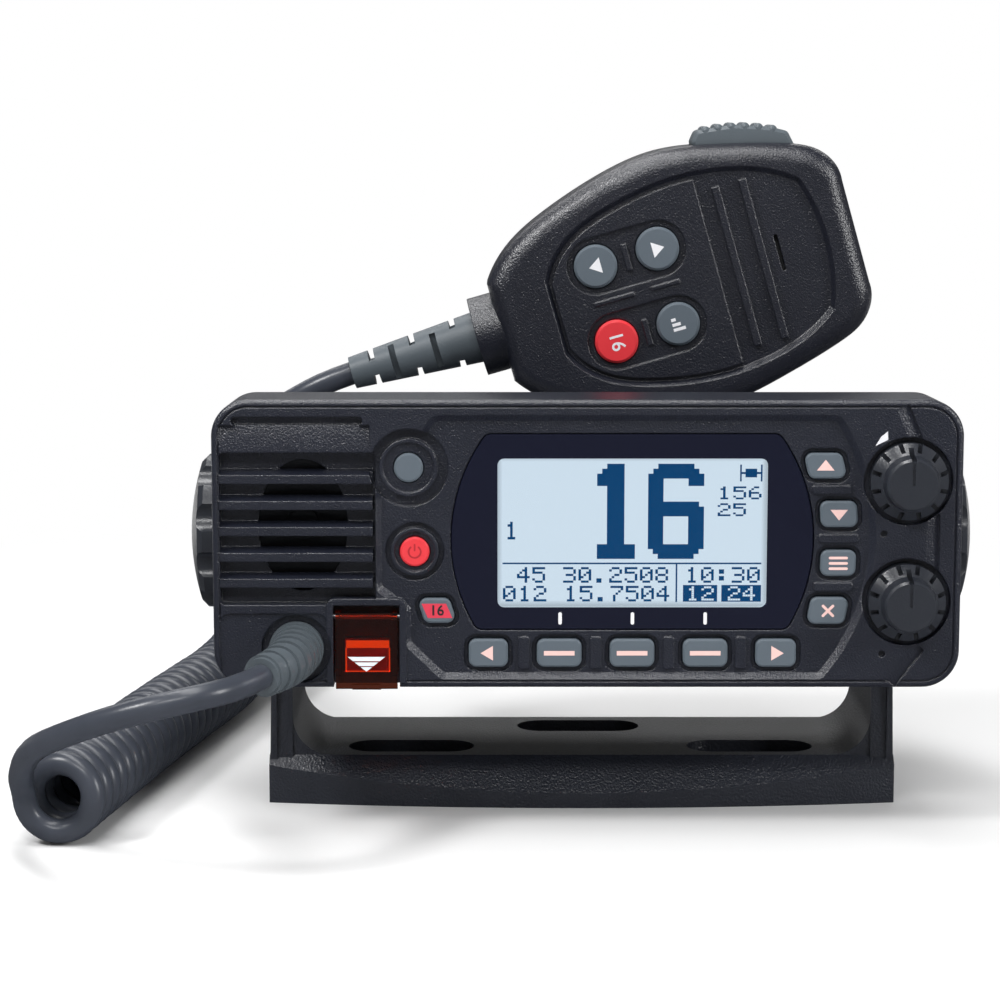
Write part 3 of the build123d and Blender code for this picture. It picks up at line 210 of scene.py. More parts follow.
# %% [markdown]
# ## Rubbers
#
# The keys are moulded silicone, slate grey and matt. The sleeves and the talk key are a grey
# thermoplastic elastomer. The cable jacket is polyurethane, dark grey and satin, and its tone drifts a
# little, as handled cable does. The skin of all of them is finer than a pixel, so it is drawn coarser.

# %% Rubbers
key_silicone = grain(finish("slate silicone", "#59636c", 0.5, IOR=1.43), 0.6, 0.02)
red_silicone = grain(finish("red silicone", "#e0363e", 0.42, IOR=1.43), 0.6, 0.02)
sleeve_rubber = grain(finish("grey thermoplastic elastomer", "#555d63", 0.42, IOR=1.48), 0.5, 0.04)
cable_jacket = finish("polyurethane cable jacket", "#3c4047", 0.3, IOR=1.5)
grain(tone(cable_jacket, "#353942", "#464a53", 12), 0.9, 0.02)
print("rubbers ready")

# %% [markdown]
# ## Metals, boards and clear parts
#
# Metals take full metallic and keep the default IOR. The case is cast aluminium under powder coat, whose
# orange peel is drawn at 0.8 mm. The lens is acrylic, printed black on its back round a clear window, and
# the cover over the distress button is clear red polycarbonate.

# %% Metals, coat and boards
turned_steel = finish("turned stainless steel", "#b9bcc0", 0.28, Metallic=1.0)
nickel = finish("nickel plate", "#c6c2b8", 0.2, Metallic=1.0)
turned_brass = finish("turned brass", "#c9a45c", 0.25, Metallic=1.0)
case_coat = grain(finish("powder coat on cast aluminium", "#282c35", 0.36, IOR=1.5), 0.8, 0.1)
board_lacquer = finish("solder mask on glass fibre", "#1f5a34", 0.35, IOR=1.5)
speaker_paper = finish("black pressed paper", "#1f2126", 0.85)
print("metals, coat and boards ready")

# %% Acrylic, the cover and its button
black_acrylic = finish("acrylic printed black behind", "#171928", 0.2, IOR=1.49, Specular_IOR_Level=0.3)
clear_acrylic = finish(
    "clear acrylic", "#ffffff", 0.03, IOR=1.49, Transmission_Weight=1.0, Specular_IOR_Level=0.1
)
red_polycarbonate = finish(
    "clear red polycarbonate", "#e2683c", 0.05, IOR=1.58, Transmission_Weight=1.0, Specular_IOR_Level=0.25
)
orange_abs = grain(finish("orange ABS", "#ea4f23", 0.4, IOR=1.54), 0.6, 0.02)
# This glowing orange is a painted highlight on the distress button, where light comes through the cover.
orange_painted_highlight = finish(
    "orange ABS with painted highlight", "#ff8a2a", 0.4, Emission_Color=linear("#ff9a2e"), Emission_Strength=0.7
)
print("clear parts ready")

# %% [markdown]
# ## The display's film and its print
#
# The display is a pale reflective film lit from its edge, so much of its light is its own; that glow
# is also painted light, standing in for the lamp light that falls on the film through the lens. Its
# segments are dark blue, and their faint glow is painted light that holds their colour. Round its rim
# the film has painted shade, as the lens's thickness would cast it: the glow's strength is a
# function of the distance to the nearest side of the window, rising from 0.66 to full in 1.2 mm. The ink
# on keys, lens and cover is matt pad print.

# %% Film and segments
# The film's glow is partly its edge light and partly painted light, standing in for the lamp light that falls
# on it through the lens.
film_strength = 1.03
film_with_painted_glow = finish(
    "pale display film with painted glow", "#20252b", 0.5, Specular_IOR_Level=0.0,
    Emission_Color=linear("#cfe1ef"), Emission_Strength=film_strength,
)
# The segments' faint blue glow is painted light, which keeps their colour behind the lens.
ink_with_painted_glow = finish(
    "dark blue display segment with painted glow", "#001c33", 0.5, Specular_IOR_Level=0.0,
    Emission_Color=linear("#00467a"), Emission_Strength=0.8,
)
print("film and segments ready")

# %% Painted shade at the film's rim
screen_x, screen_z = 10.9, 75.1
screen_half = (32.4, 18.1)
rim_strength = 0.66
rim_width = 1.2
tree = film_with_painted_glow.node_tree
place = add(tree, "ShaderNodeTexCoord", {})
split = add(tree, "ShaderNodeSeparateXYZ", {0: place.outputs["Object"]})
inside = []
for number, centre, half in ((0, screen_x, screen_half[0]), (2, screen_z, screen_half[1])):
    from_centre = {0: split.outputs[number], 1: centre * mm}
    off_centre = add(tree, "ShaderNodeMath", from_centre, operation="SUBTRACT")
    away = add(tree, "ShaderNodeMath", {0: off_centre.outputs[0]}, operation="ABSOLUTE")
    inside.append(add(tree, "ShaderNodeMath", {0: half * mm, 1: away.outputs[0]}, operation="SUBTRACT"))
to_sides = {0: inside[0].outputs[0], 1: inside[1].outputs[0]}
nearest_side = add(tree, "ShaderNodeMath", to_sides, operation="MINIMUM")
rising = {0: nearest_side.outputs[0], 1: 0, 2: rim_width * mm, 3: rim_strength, 4: film_strength}
# Painted shade: the film's glow falls to 0.66 towards the window's rim, where the lens's thickness would
# shade it.
painted_rim_shade = add(tree, "ShaderNodeMapRange", rising)
tree.links.new(painted_rim_shade.outputs[0], tree.nodes["Principled BSDF"].inputs["Emission Strength"])
print("film lit from its rim")

# %% Print
legend_white = finish("pinkish white print", "#ecc4be", 0.6)
legend_red = finish("red print", "#d8334a", 0.5)
arrow_white = finish("white print", "#e6e6ea", 0.6)
embossed_red = finish("red silicone, embossed", "#b0212b", 0.45, IOR=1.43)
print("print ready")

# %% [markdown]
# ## Softened edges
#
# A part arrives as loose triangles, each with its own corners. For shading they are merged in a copy, and
# the copy's normals are worked out anew: a flat face keeps one normal right up to its rim, and the
# narrow fillets at its edges turn from one normal to the next. That is where a moulding catches light.
# A curved face comes in steps of up to 12 degrees, so any fold above 14 is a real edge. The crown of the
# microphone is ruled in wider strips that fold by up to 24 degrees, so its two shells have 26.


# %% A merged copy
double_gap = 0.0005


def merged_copy(node, name):
    """Copy of a part's mesh with its doubles merged, as a new object."""
    mesh = frame["nodes"][node].data.copy()
    shape = bmesh.new()
    shape.from_mesh(mesh)
    bmesh.ops.remove_doubles(shape, verts=shape.verts, dist=double_gap * mm)
    shape.to_mesh(mesh)
    shape.free()
    mesh.name = name
    mesh.polygons.foreach_set("use_smooth", [True] * len(mesh.polygons))
    piece = bpy.data.objects.new(name, mesh)
    bpy.context.scene.collection.objects.link(piece)
    return piece


print("points closer than", double_gap, "mm are merged")

# %% Planes of a mesh
same_plane = 0.99999


def planes_of(shape):
    """Number of the plane each triangle lies in, and the area of each plane of triangles joined by edges."""
    number, areas = {}, []
    for first in shape.faces:
        if first in number:
            continue
        number[first] = len(areas)
        area, waiting = 0.0, [first]
        while waiting:
            face = waiting.pop()
            area += face.calc_area()
            for other in {g for edge in face.edges for g in edge.link_faces} - {face}:
                if other not in number and face.normal.dot(other.normal) > same_plane:
                    number[other] = len(areas)
                    waiting.append(other)
        areas.append(area)
    return number, areas


print("triangles within", round(math.degrees(math.acos(same_plane)), 2), "degrees lie in one plane")


# %% Normals of a moulding
def faces_sharing(corner, limit):
    """Faces round a corner's point, reached from the corner's own face over folds less than the limit."""
    group, waiting = {corner.face}, [corner.face]
    while waiting:
        here = waiting.pop()
        for edge in here.edges:
            if corner.vert in edge.verts:
                for other in edge.link_faces:
                    if other not in group and here.normal.dot(other.normal) > limit:
                        group.add(other)
                        waiting.append(other)
    return group


def set_moulded_normals(mesh, crease):
    """Corner normals: round a point, faces folding by less than the crease share one normal. Each plane
    counts once, by its whole area, so large flat faces stay flat and the narrow fillets do the bending."""
    shape = bmesh.new()
    shape.from_mesh(mesh)
    number, areas = planes_of(shape)
    limit = math.cos(math.radians(crease))
    normals = []
    for face in shape.faces:
        for corner in face.loops:
            planes = {number[g]: g.normal * areas[number[g]] for g in faces_sharing(corner, limit)}
            normals.append(sum(planes.values(), face.normal * 0).normalized())
    shape.free()
    mesh.normals_split_custom_set(normals)


real_edge = 14
crease_of = {"mic_front_shell": 26, "mic_rear_shell": 26}
print("a fold over", real_edge, "degrees is an edge, except on", len(crease_of), "shells")


# %% Softened parts
def softened(node, material):
    """Merged copy in place of the part, with moulded normals."""
    piece = merged_copy(node, "soft_" + node)
    piece.data.materials.clear()
    piece.data.materials.append(material)
    set_moulded_normals(piece.data, crease_of.get(node, real_edge))
    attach(piece, frame["nodes"][node]["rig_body"])
    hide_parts(node)


softened_parts = {
    "front_bezel": housing_abs,
    "mounting_bracket": bracket_nylon,
    "mic_front_shell": mic_abs,
    "mic_rear_shell": mic_abs,
    "right_clamp_knob": knob_abs,
    "left_clamp_knob": knob_abs,
    "volume_knob": knob_abs,
    "squelch_knob": knob_abs,
    "radio_boot": sleeve_rubber,
    "mic_boot": sleeve_rubber,
    "mic_ptt": sleeve_rubber,
    "distress_cover": red_polycarbonate,
    "distress_button": orange_abs,
    "power_key": red_silicone,
    "mic_channel_key": red_silicone,
    "chassis": case_coat,
}
silicone_keys = [
    "channel_key", "left_key", "first_soft_key", "second_soft_key", "third_soft_key", "right_key",
    "up_key", "down_key", "menu_key", "clear_key", "round_key",
    "mic_down_key", "mic_up_key", "mic_power_level_key",
]
softened_parts.update({key: key_silicone for key in silicone_keys})
for node, material in softened_parts.items():
    softened(node, material)
print(len(softened_parts), "parts softened")

# %% Finishes of the parts that stay as they are
plain_parts = {
    "lcd_module": film_with_painted_glow,
    "keypad_mat": key_silicone,
    "control_board": board_lacquer,
    "main_board": board_lacquer,
    "mic_board": board_lacquer,
    "speaker_cone": speaker_paper,
    "front_gasket": seal_rubber,
    "pivot_washers": seal_rubber,
    "power_gland": seal_rubber,
    "data_gland": seal_rubber,
    # The capsule takes black rubber as painted shade: it keeps the slot in front of it dark.
    "mic_capsule": seal_rubber,
    "pivot_inserts": turned_brass,
    "antenna_socket": nickel,
}
steel_parts = [
    "potentiometers", "speaker_frame", "speaker_magnet", "case_screws", "distress_hinge_pin", "volume_shaft",
    "squelch_shaft", "right_clamp_stud", "left_clamp_stud", "mic_screws", "mic_hang_stud",
]
plain_parts.update({part: turned_steel for part in steel_parts})
for node, material in plain_parts.items():
    part = frame["nodes"][node]
    part.data.materials.clear()
    part.data.materials.append(material)
print(len(plain_parts), "parts keep their shape")

# %% [markdown]
# ## Meshes from arrays
#
# Every new piece is a surface: an array of points in millimetres and a list of faces. Two helpers are
# enough. One puts such arrays into a Blender object, the other joins a grid of points by squares. Faces
# that fold by more than 35 degrees keep a sharp edge between them.

# %% Mesh helpers
sharp_fold = math.radians(35)


def mesh_piece(name, points, faces, material, body):
    """Object from points in millimetres and faces, with its material; it rides on a body if one is given."""
    mesh = bpy.data.meshes.new(name)
    mesh.from_pydata((np.asarray(points, float) * mm).tolist(), [], [list(map(int, f)) for f in faces])
    mesh.polygons.foreach_set("use_smooth", [True] * len(mesh.polygons))
    mesh.set_sharp_from_angle(angle=sharp_fold)
    mesh.materials.append(material)
    piece = bpy.data.objects.new(name, mesh)
    bpy.context.scene.collection.objects.link(piece)
    if body:
        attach(piece, body)
    return piece


def grid_faces(rows, columns):
    """Squares of a grid closed across its columns: row i and i + 1, column j and j + 1, round to 0."""
    i, j = np.meshgrid(np.arange(rows - 1), np.arange(columns), indexing="ij")
    k = (j + 1) % columns
    squares = [i * columns + j, i * columns + k, (i + 1) * columns + k, (i + 1) * columns + j]
    return np.stack(squares, -1).reshape(-1, 4).tolist()


print("three rings of four points make", len(grid_faces(3, 4)), "squares")

# %% [markdown]
# ## The cord's route
#
# The cord is one length of cable: a plain lead, a long coil and a second lead up to the microphone.
# Its line is a NURBS spline. The leads have points given one by one. The coil's points are worked out: they
# turn round the coil's own axis, which is a spline too. A smooth spline is the right tool, because a
# cable has no corners, and one line for the whole length keeps the joins between leads and coil smooth.

# %% Points of the route, in mm
radio_lead = [
    (-76.04, -87.1, 46.1),
    (-80.2, -98.6, 45.8),
    (-90.4, -106.3, 45.0),
    (-107.0, -106.0, 41.0),
    (-120.0, -97.5, 35.0),
    (-129.5, -85.5, 29.0),
    (-133.9, -74.5, 22.6),
    (-135.8, -68.2, 17.2),
]
coil_axis = [
    (-127.5, -66.0, 11.4),
    (-118.0, -8.0, 11.4),
    (-109.5, 38.0, 11.4),
    (-100.0, 84.0, 11.4),
    (-94.0, 124.0, 17.0),
    (-92.5, 132.0, 58.0),
    (-91.0, 96.0, 80.0),
    (-91.0, 74.0, 82.5),
]
mic_lead = [
    (-91.0, 58.0, 91.4),
    (-90.8, 42.0, 91.4),
    (-88.0, 26.0, 92.6),
    (-82.0, 13.0, 96.0),
    (-74.5, 7.5, 100.8),
    (-66.5, 6.0, 105.2),
    (-59.5, 6.0, 107.6),
]
print(len(radio_lead), "points before the coil,", len(coil_axis), "on its axis,", len(mic_lead), "after it")


# %% Line through points
def drawn_line(points, resolution):
    """Line that Blender draws for a NURBS spline of order 3 with those control points, ends included."""
    curve = bpy.data.curves.new("route", "CURVE")
    curve.dimensions = "3D"
    curve.resolution_u = resolution
    spline = curve.splines.new("NURBS")
    spline.points.add(len(points) - 1)
    spline.points.foreach_set("co", np.column_stack([points, np.ones(len(points))]).ravel())
    spline.order_u = 3
    spline.use_endpoint_u = True
    holder = bpy.data.objects.new("route", curve)
    bpy.context.scene.collection.objects.link(holder)
    mesh = bpy.data.meshes.new_from_object(holder.evaluated_get(bpy.context.evaluated_depsgraph_get()))
    line = np.empty(len(mesh.vertices) * 3)
    mesh.vertices.foreach_get("co", line)
    bpy.data.objects.remove(holder)
    bpy.data.curves.remove(curve)
    bpy.data.meshes.remove(mesh)
    return line.reshape(-1, 3)


def distance_along(line):
    """Length from the first point to each point: the running sum of the straight steps."""
    return np.concatenate([[0], np.cumsum(np.linalg.norm(np.diff(line, axis=0), axis=1))])


axis_line = drawn_line(coil_axis, 24)
axis_length = distance_along(axis_line)
print("the coil's axis is", round(axis_length[-1]), "mm long")

# %% [markdown]
# ## The turns of the coil
#
# Cable of 6 mm wound to 22.5 mm outside leaves a coil whose own line runs at a radius of 8.25 mm, and
# wound nearly tight it rises 6.3 mm each turn. The lead to the radio runs straight into the first turn.
# At the other end the cable leaves the turns: over its last 20 mm it eases from going round to going
# along the axis, at the same radius, so it leaves without a kink.

# %% Measures of the coil
cord_width = 6.0
coil_turn_radius = 8.25
coil_rise = 6.3
points_per_turn = 14
lead_out = 20.0
once_round = 2 * math.pi * coil_turn_radius
climb = math.atan2(coil_rise, once_round)
cable_step = math.hypot(coil_rise, once_round) / points_per_turn
print("each turn takes", round(cable_step * points_per_turn, 1), "mm of cable")


# %% Way of the cable along and round the coil
def steepness(cable):
    """Angle between cable and turn: the coil's climb, easing to a right angle at the end by 3 u^2 - 2 u^3."""
    u = np.clip((cable[-1] - cable) / lead_out, 0, 1)
    return math.pi / 2 + (climb - math.pi / 2) * u * u * (3 - 2 * u)


def summed(cable, share):
    """Way gone at each point of the cable: the running sum of step times share, from 0."""
    step = cable[1] - cable[0]
    return np.concatenate([[0], np.cumsum(step * share[:-1])])


def risen(cable):
    """Way along the coil's axis: the cable takes the sine of its steepness of each step."""
    return summed(cable, np.sin(steepness(cable)))


# A trial length shows what the easing takes; the rest of the axis is filled at the coil's own climb.
trial_length = 1000.0
trial = np.arange(0, trial_length, cable_step)
cable_length = trial_length + (axis_length[-1] - risen(trial)[-1]) / math.sin(climb)
cable = np.linspace(0, cable_length, round(cable_length / cable_step))
steps = risen(cable)
steps *= axis_length[-1] / steps[-1]
turned = summed(cable, np.cos(steepness(cable))) / coil_turn_radius
print("coil of", round(cable_length), "mm of cable")

# %% Turns of the coil
axis = np.column_stack([np.interp(steps, axis_length, axis_line[:, k]) for k in range(3)])
ahead = np.gradient(axis, axis=0)
ahead /= np.linalg.norm(ahead, axis=1)[:, None]
across = np.array([1.0, 0, 0]) - ahead[:, :1] * ahead
across /= np.linalg.norm(across, axis=1)[:, None]
over = np.cross(across, ahead)
# The lead comes down on the coil's left side and the cable leaves it on the upper side.
first_angle, last_angle = math.radians(170), math.radians(270)
last_angle += 2 * math.pi * round((first_angle + turned[-1] - last_angle) / (2 * math.pi))
all_turns = last_angle - first_angle
angle = first_angle + turned * all_turns / turned[-1]
coil = axis + coil_turn_radius * (np.cos(angle)[:, None] * across + np.sin(angle)[:, None] * over)
print("coil of", round(all_turns / (2 * math.pi), 1), "turns")

# %% [markdown]
# ## A tube along a line
#
# A tube is a circle carried along a line. If each circle were turned afresh to face along the line, the
# tube would twist at bends, so the side direction is handed on from point to point by two reflections.


# %% Tube
def carried_sides(line):
    """Side and up directions along a line without twist: each pair reflected into the next step."""
    along = np.gradient(line, axis=0)
    along /= np.linalg.norm(along, axis=1)[:, None]
    side = np.empty_like(line)
    side[0] = np.cross(along[0], (0.3, 0.2, 0.93))
    side[0] /= np.linalg.norm(side[0])
    for i in range(len(line) - 1):
        step = line[i + 1] - line[i]
        turned = side[i] - 2 / (step @ step) * (step @ side[i]) * step
        faced = along[i] - 2 / (step @ step) * (step @ along[i]) * step
        rest = along[i + 1] - faced
        size = rest @ rest
        side[i + 1] = turned - 2 / size * (rest @ turned) * rest if size > 1e-15 else turned
    return side, np.cross(along, side)


def tube_surface(line, radius, around):
    """Centre + radius * (cos a * side + sin a * up), a once round, with both ends closed."""
    side, up = carried_sides(line)
    a = np.linspace(0, 2 * math.pi, around, endpoint=False)
    reach = np.broadcast_to(radius, len(line))[:, None, None]
    ring = np.cos(a)[None, :, None] * side[:, None, :] + np.sin(a)[None, :, None] * up[:, None, :]
    points = (line[:, None, :] + reach * ring).reshape(-1, 3)
    faces = grid_faces(len(line), around)
    ends = [list(range(around))[::-1], list(range((len(line) - 1) * around, len(line) * around))]
    return points, faces + ends


print("a tube of six sides round the axis has", len(tube_surface(axis_line, 1.0, 6)[1]), "faces")

# %% [markdown]
# ## The cord as three tubes
#
# The microphone and the tilting radio both pull on the cord, and a piece can bend across one joint
# only. So the one route is cut in three: the lead with the coil on the floor, the part of the coil
# that rises behind the set, and the lead into the microphone. Each piece is tagged with the first of
# its two bodies.

# %% Where the cord is cut
whole_route = np.concatenate([radio_lead, coil, mic_lead])
cord_line = drawn_line(whole_route, 3)


def nearest(point):
    """Index of the line's point that is closest to a given one."""
    return int(np.argmin(np.linalg.norm(cord_line - np.asarray(point), axis=1)))


share_on_floor = 0.64
leaves_floor = nearest(coil[int(share_on_floor * len(coil))])
leaves_coil = nearest(coil[-1])
print("the cord's line has", len(cord_line), "points, cut at", leaves_floor, "and", leaves_coil)

# %% Cord pieces
cable_sides = 14
cord_nodes = {
    "cord_to_radio": ["cord_radio_lead"],
    "cord_rising": ["cord_coil"],
    "cord_to_microphone": ["cord_mic_lead"],
}
# First and last point, the two bodies, and where the bend starts and ends.
cord_spans = {
    "cord_to_radio": (0, leaves_floor, "bracket", "radio", (-118, -66, 16), radio_lead[0]),
    "cord_rising": (leaves_floor, leaves_coil, "bracket", "radio", cord_line[leaves_floor], coil[-1]),
    "cord_to_microphone": (leaves_coil, len(cord_line) - 1, "radio", "microphone", (0, 68, 0), (0, 10, 0)),
}
for name, (first, last, near, far, start, end) in cord_spans.items():
    line = cord_line[first : last + 1]
    points, faces = tube_surface(line, cord_width / 2, cable_sides)
    piece = mesh_piece(name, points, faces, cable_jacket, None)
    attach(piece, near)
    piece.parent = None
    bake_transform(piece)
    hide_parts(*cord_nodes[name])

# %% [markdown]
# ## The lens and the display
#
# The lens is one acrylic plate. Its border is black and its middle clear, and a material can't be both,
# so the plate is cut in two: a border with a rounded window, and a pane that fills the window.


# %% Outlines and plates
def rounded_rectangle(half_width, half_height, corner, steps):
    """Outline in x and z: quarter circles of radius corner round the four corner centres."""
    turn = np.linspace(0, math.pi / 2, steps)
    quarter = np.repeat(np.arange(4), steps)
    a = np.tile(turn, 4) + quarter * math.pi / 2
    centre_x = np.array([1, -1, -1, 1])[quarter] * (half_width - corner)
    centre_z = np.array([1, 1, -1, -1])[quarter] * (half_height - corner)
    return np.column_stack([centre_x + corner * np.cos(a), centre_z + corner * np.sin(a)])


def plate(name, outline, front, back, material, body):
    """Outline in x and z carried from depth front to depth back, with both ends closed."""
    outline = np.asarray(outline, float)
    area = np.sum(outline[:, 0] * np.roll(outline[:, 1], -1) - np.roll(outline[:, 0], -1) * outline[:, 1])
    if area < 0:
        outline = outline[::-1]
    count = len(outline)
    rows = [np.column_stack([outline[:, 0], np.full(count, y), outline[:, 1]]) for y in (front, back)]
    j = np.arange(count)
    k = (j + 1) % count
    sides = np.column_stack([j, j + count, k + count, k]).tolist()
    ends = [list(range(count)), list(range(2 * count - 1, count - 1, -1))]
    return mesh_piece(name, np.concatenate(rows), sides + ends, material, body)


window_corner = 1.6
window = rounded_rectangle(*screen_half, window_corner, 7) + (screen_x, screen_z)
print("window outline of", len(window), "points")

# %% Border of the lens
lens_low, lens_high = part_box("display_window")
lens_front, lens_back = lens_low[1] / mm, lens_high[1] / mm
cutter = plate("window_cutter", window, lens_front - 1, lens_back + 1, black_acrylic, None)
border = merged_copy("display_window", "lens_border")
border.data.materials.clear()
border.data.materials.append(black_acrylic)
cut = border.modifiers.new("window", "BOOLEAN")
cut.object = cutter
cut.solver = "EXACT"
cut_mesh = bpy.data.meshes.new_from_object(border.evaluated_get(bpy.context.evaluated_depsgraph_get()))
border.modifiers.clear()
border.data = cut_mesh
set_moulded_normals(border.data, real_edge)
bpy.data.objects.remove(cutter)
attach(border, "radio")
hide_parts("display_window")
print("lens from", round(lens_front, 2), "to", round(lens_back, 2))

# %% Pane
pane_gap = 0.03
pane_sunk = 0.02
pane_half = (screen_half[0] - pane_gap, screen_half[1] - pane_gap)
pane_outline = rounded_rectangle(*pane_half, window_corner, 7) + (screen_x, screen_z)
plate("lens_pane", pane_outline, lens_front + pane_sunk, lens_back, clear_acrylic, "radio")
print("pane of", round(2 * pane_half[0], 1), "by", round(2 * pane_half[1], 1), "mm")

# %% [markdown]
# ## Figures on the display
#
# A dot-matrix display draws each figure with small dots, five across and seven down. Each figure below is
# seven rows of five. The figures are plain numbers: a channel, a position and a time. Hundreds of dots
# as objects of their own would be slow, so each group of figures is one mesh of squares.

# %% Figures of dots
figures = {
    "0": "01110 10001 10011 10101 11001 10001 01110",
    "1": "00100 01100 00100 00100 00100 00100 01110",
    "2": "01110 10001 00001 00110 01000 10000 11111",
    "3": "11110 00001 00001 01110 00001 00001 11110",
    "4": "00010 00110 01010 10010 11111 00010 00010",
    "5": "11111 10000 11110 00001 00001 10001 01110",
    "6": "00110 01000 10000 11110 10001 10001 01110",
    "7": "11111 00001 00010 00100 01000 01000 01000",
    "8": "01110 10001 10001 01110 10001 10001 01110",
    ":": "00000 01100 01100 00000 01100 01100 00000",
    ".": "00000 00000 00000 00000 00000 01100 01100",
    " ": "00000 00000 00000 00000 00000 00000 00000",
}
print(len(figures), "figures")


# %% Dots
def dot_places(words, left, top, width, height):
    """Lower left corners of the dots that are set, for a line of figures 6 dots apart."""
    rows = np.array([[list(row) for row in figures[figure].split()] for figure in words]) == "1"
    figure, row, column = np.nonzero(rows)
    return np.column_stack([left + (6 * figure + column) * width, top - (row + 1) * height])


def dots(name, places, width, height, depth, material, body):
    """One small square facing forward for each place, in x and z, all in one mesh."""
    corners = np.array([[0, 0], [width, 0], [width, height], [0, height]])
    flat = (np.asarray(places, float)[:, None, :] + corners).reshape(-1, 2)
    points = np.column_stack([flat[:, 0], np.full(len(flat), depth), flat[:, 1]])
    faces = np.arange(len(flat)).reshape(-1, 4).tolist()
    return mesh_piece(name, points, faces, material, body)


# The film lies 0.4 mm behind the front of its module, and the ink just in front of the film.
film_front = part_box("lcd_module")[0][1] / mm + 0.4
ink_depth = film_front - 0.04
print("ink at depth", round(ink_depth, 2))

# %% Small figures
dot_width = 0.62
# Height of a dot, then each line's figures with their left and top.
lines = {
    "position": (0.55, [("45 30.2508", -16.8, 66.3), ("012 15.7504", -20.2, 61.7), ("10:30", 24.0, 66.3)]),
    "power": (0.45, [("156", 31.6, 86.0), ("25", 31.6, 81.9)]),
    "memory": (0.62, [("1", -19.7, 77.4)]),
}
for name, (dot_height, words_places) in lines.items():
    each = [dot_places(words, left, top, dot_width, dot_height) for words, left, top in words_places]
    small = np.concatenate(each)
    dots("display_" + name, small, dot_width, dot_height, ink_depth, ink_with_painted_glow, "radio")
    print(name, "of", len(small), "dots")


# %% Blocks and the large channel number
def blocks(name, boxes, depth, material, body):
    """One rectangle facing forward for each (left, right, low, high), in one mesh."""
    left, right, low, high = np.asarray(boxes, float).T
    x = np.stack([left, right, right, left], 1).ravel()
    z = np.stack([low, low, high, high], 1).ravel()
    points = np.column_stack([x, np.full(len(x), depth), z])
    return mesh_piece(name, points, np.arange(len(x)).reshape(-1, 4).tolist(), material, body)


# The channel number in rows from the foot up: (low, high) and the (left, right) of each stroke in it.
stroke_rows = [
    ((0.0, 3.6), [(2.5, 11.7)]),
    ((3.6, 17.8), [(4.9, 9.1)]),
    ((17.8, 20.8), [(2.5, 9.1)]),
    ((20.8, 22.0), [(3.7, 9.1)]),
    ((22.0, 23.2), [(4.9, 9.1)]),
    ((0.0, 1.2), [(17.2, 25.9)]),
    ((1.2, 2.4), [(16.0, 27.1)]),
    ((2.4, 3.6), [(14.8, 28.3)]),
    ((3.6, 10.4), [(14.8, 18.5), (24.5, 28.3)]),
    ((10.4, 12.8), [(14.8, 28.3)]),
    ((12.8, 14.0), [(14.8, 27.1)]),
    ((14.0, 17.8), [(14.8, 18.5)]),
    ((17.8, 19.6), [(14.8, 18.5), (24.5, 28.3)]),
    ((19.6, 20.8), [(14.8, 28.3)]),
    ((20.8, 22.0), [(16.0, 27.1)]),
    ((22.0, 23.2), [(17.2, 25.9)]),
]
number_foot = 68.3
strokes = [
    (left, right, number_foot + low, number_foot + high)
    for (low, high), spans in stroke_rows
    for left, right in spans
]
blocks("display_channel", strokes, ink_depth, ink_with_painted_glow, "radio")
print("channel number of", len(strokes), "blocks")

# %% Rules, badges and a plain icon
rules = [(-20.3, 42.3, 67.0, 67.4), (21.6, 22.0, 57.7, 67.0)]
badges = [(23.4, 31.7, 57.8, 61.9), (32.7, 42.3, 57.8, 61.9)]
top_icon = [
    (38.2, 41.0, 88.2, 90.3),
    (37.3, 41.9, 89.0, 89.5),
    (36.9, 37.3, 87.2, 91.3),
    (41.9, 42.3, 87.2, 91.3),
]
blocks("display_rules", rules + badges + top_icon, ink_depth, ink_with_painted_glow, "radio")
print(len(rules), "rules and", len(badges), "badges")

# %% Figures on the badges, in the film's colour
badge_dot = (0.6, 0.5)
badge_places = [dot_places("12", 24.3, 61.6, *badge_dot), dot_places("24", 34.3, 61.6, *badge_dot)]
badge_words = np.concatenate(badge_places)
dots("display_badge_figures", badge_words, 0.56, 0.46, ink_depth - 0.02, film_with_painted_glow, "radio")
print(len(badge_words), "dots on the badges")

# %% [markdown]
# ## Printed marks
#
# The marks on the keys are pad-printed ink, a few hundredths of a millimetre thick. Each is a flat
# outline that stands so far out of its key, and it rides on the key, so it moves in when the key is
# pressed. Thin solid plates were chosen, because a picture on the key would blur close up.

# %% Marks on the keys
ink = 0.04
key_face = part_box("up_key")[0][1] / mm
triangle_up = [(-2.1, -1.1), (2.1, -1.1), (0, 1.5)]
soft_key_bar = [(-3.7, -0.55), (3.7, -0.55), (3.7, 0.55), (-3.7, 0.55)]
# The key's middle in x and z, and the mark's outline round it.
marks = {
    "up_key": (57.0, 91.5, triangle_up),
    "down_key": (60.4, 79.8, [(x, -z) for x, z in triangle_up]),
    "left_key": (-23.9, 45.9, [(1.3, 1.8), (1.3, -1.8), (-1.7, 0)]),
    "right_key": (45.9, 45.9, [(-1.3, 1.8), (-1.3, -1.8), (1.7, 0)]),
}
soft_keys = {"first_soft_key": -6.6, "second_soft_key": 11.0, "third_soft_key": 28.65}
for key, x in soft_keys.items():
    marks[key] = (x, 45.9, soft_key_bar)
for key, (x, z, outline) in marks.items():
    places = np.array(outline) + (x, z)
    plate("mark_" + key, places, key_face - ink, key_face + ink, legend_white, key + "_body")
print(len(marks), "key marks")

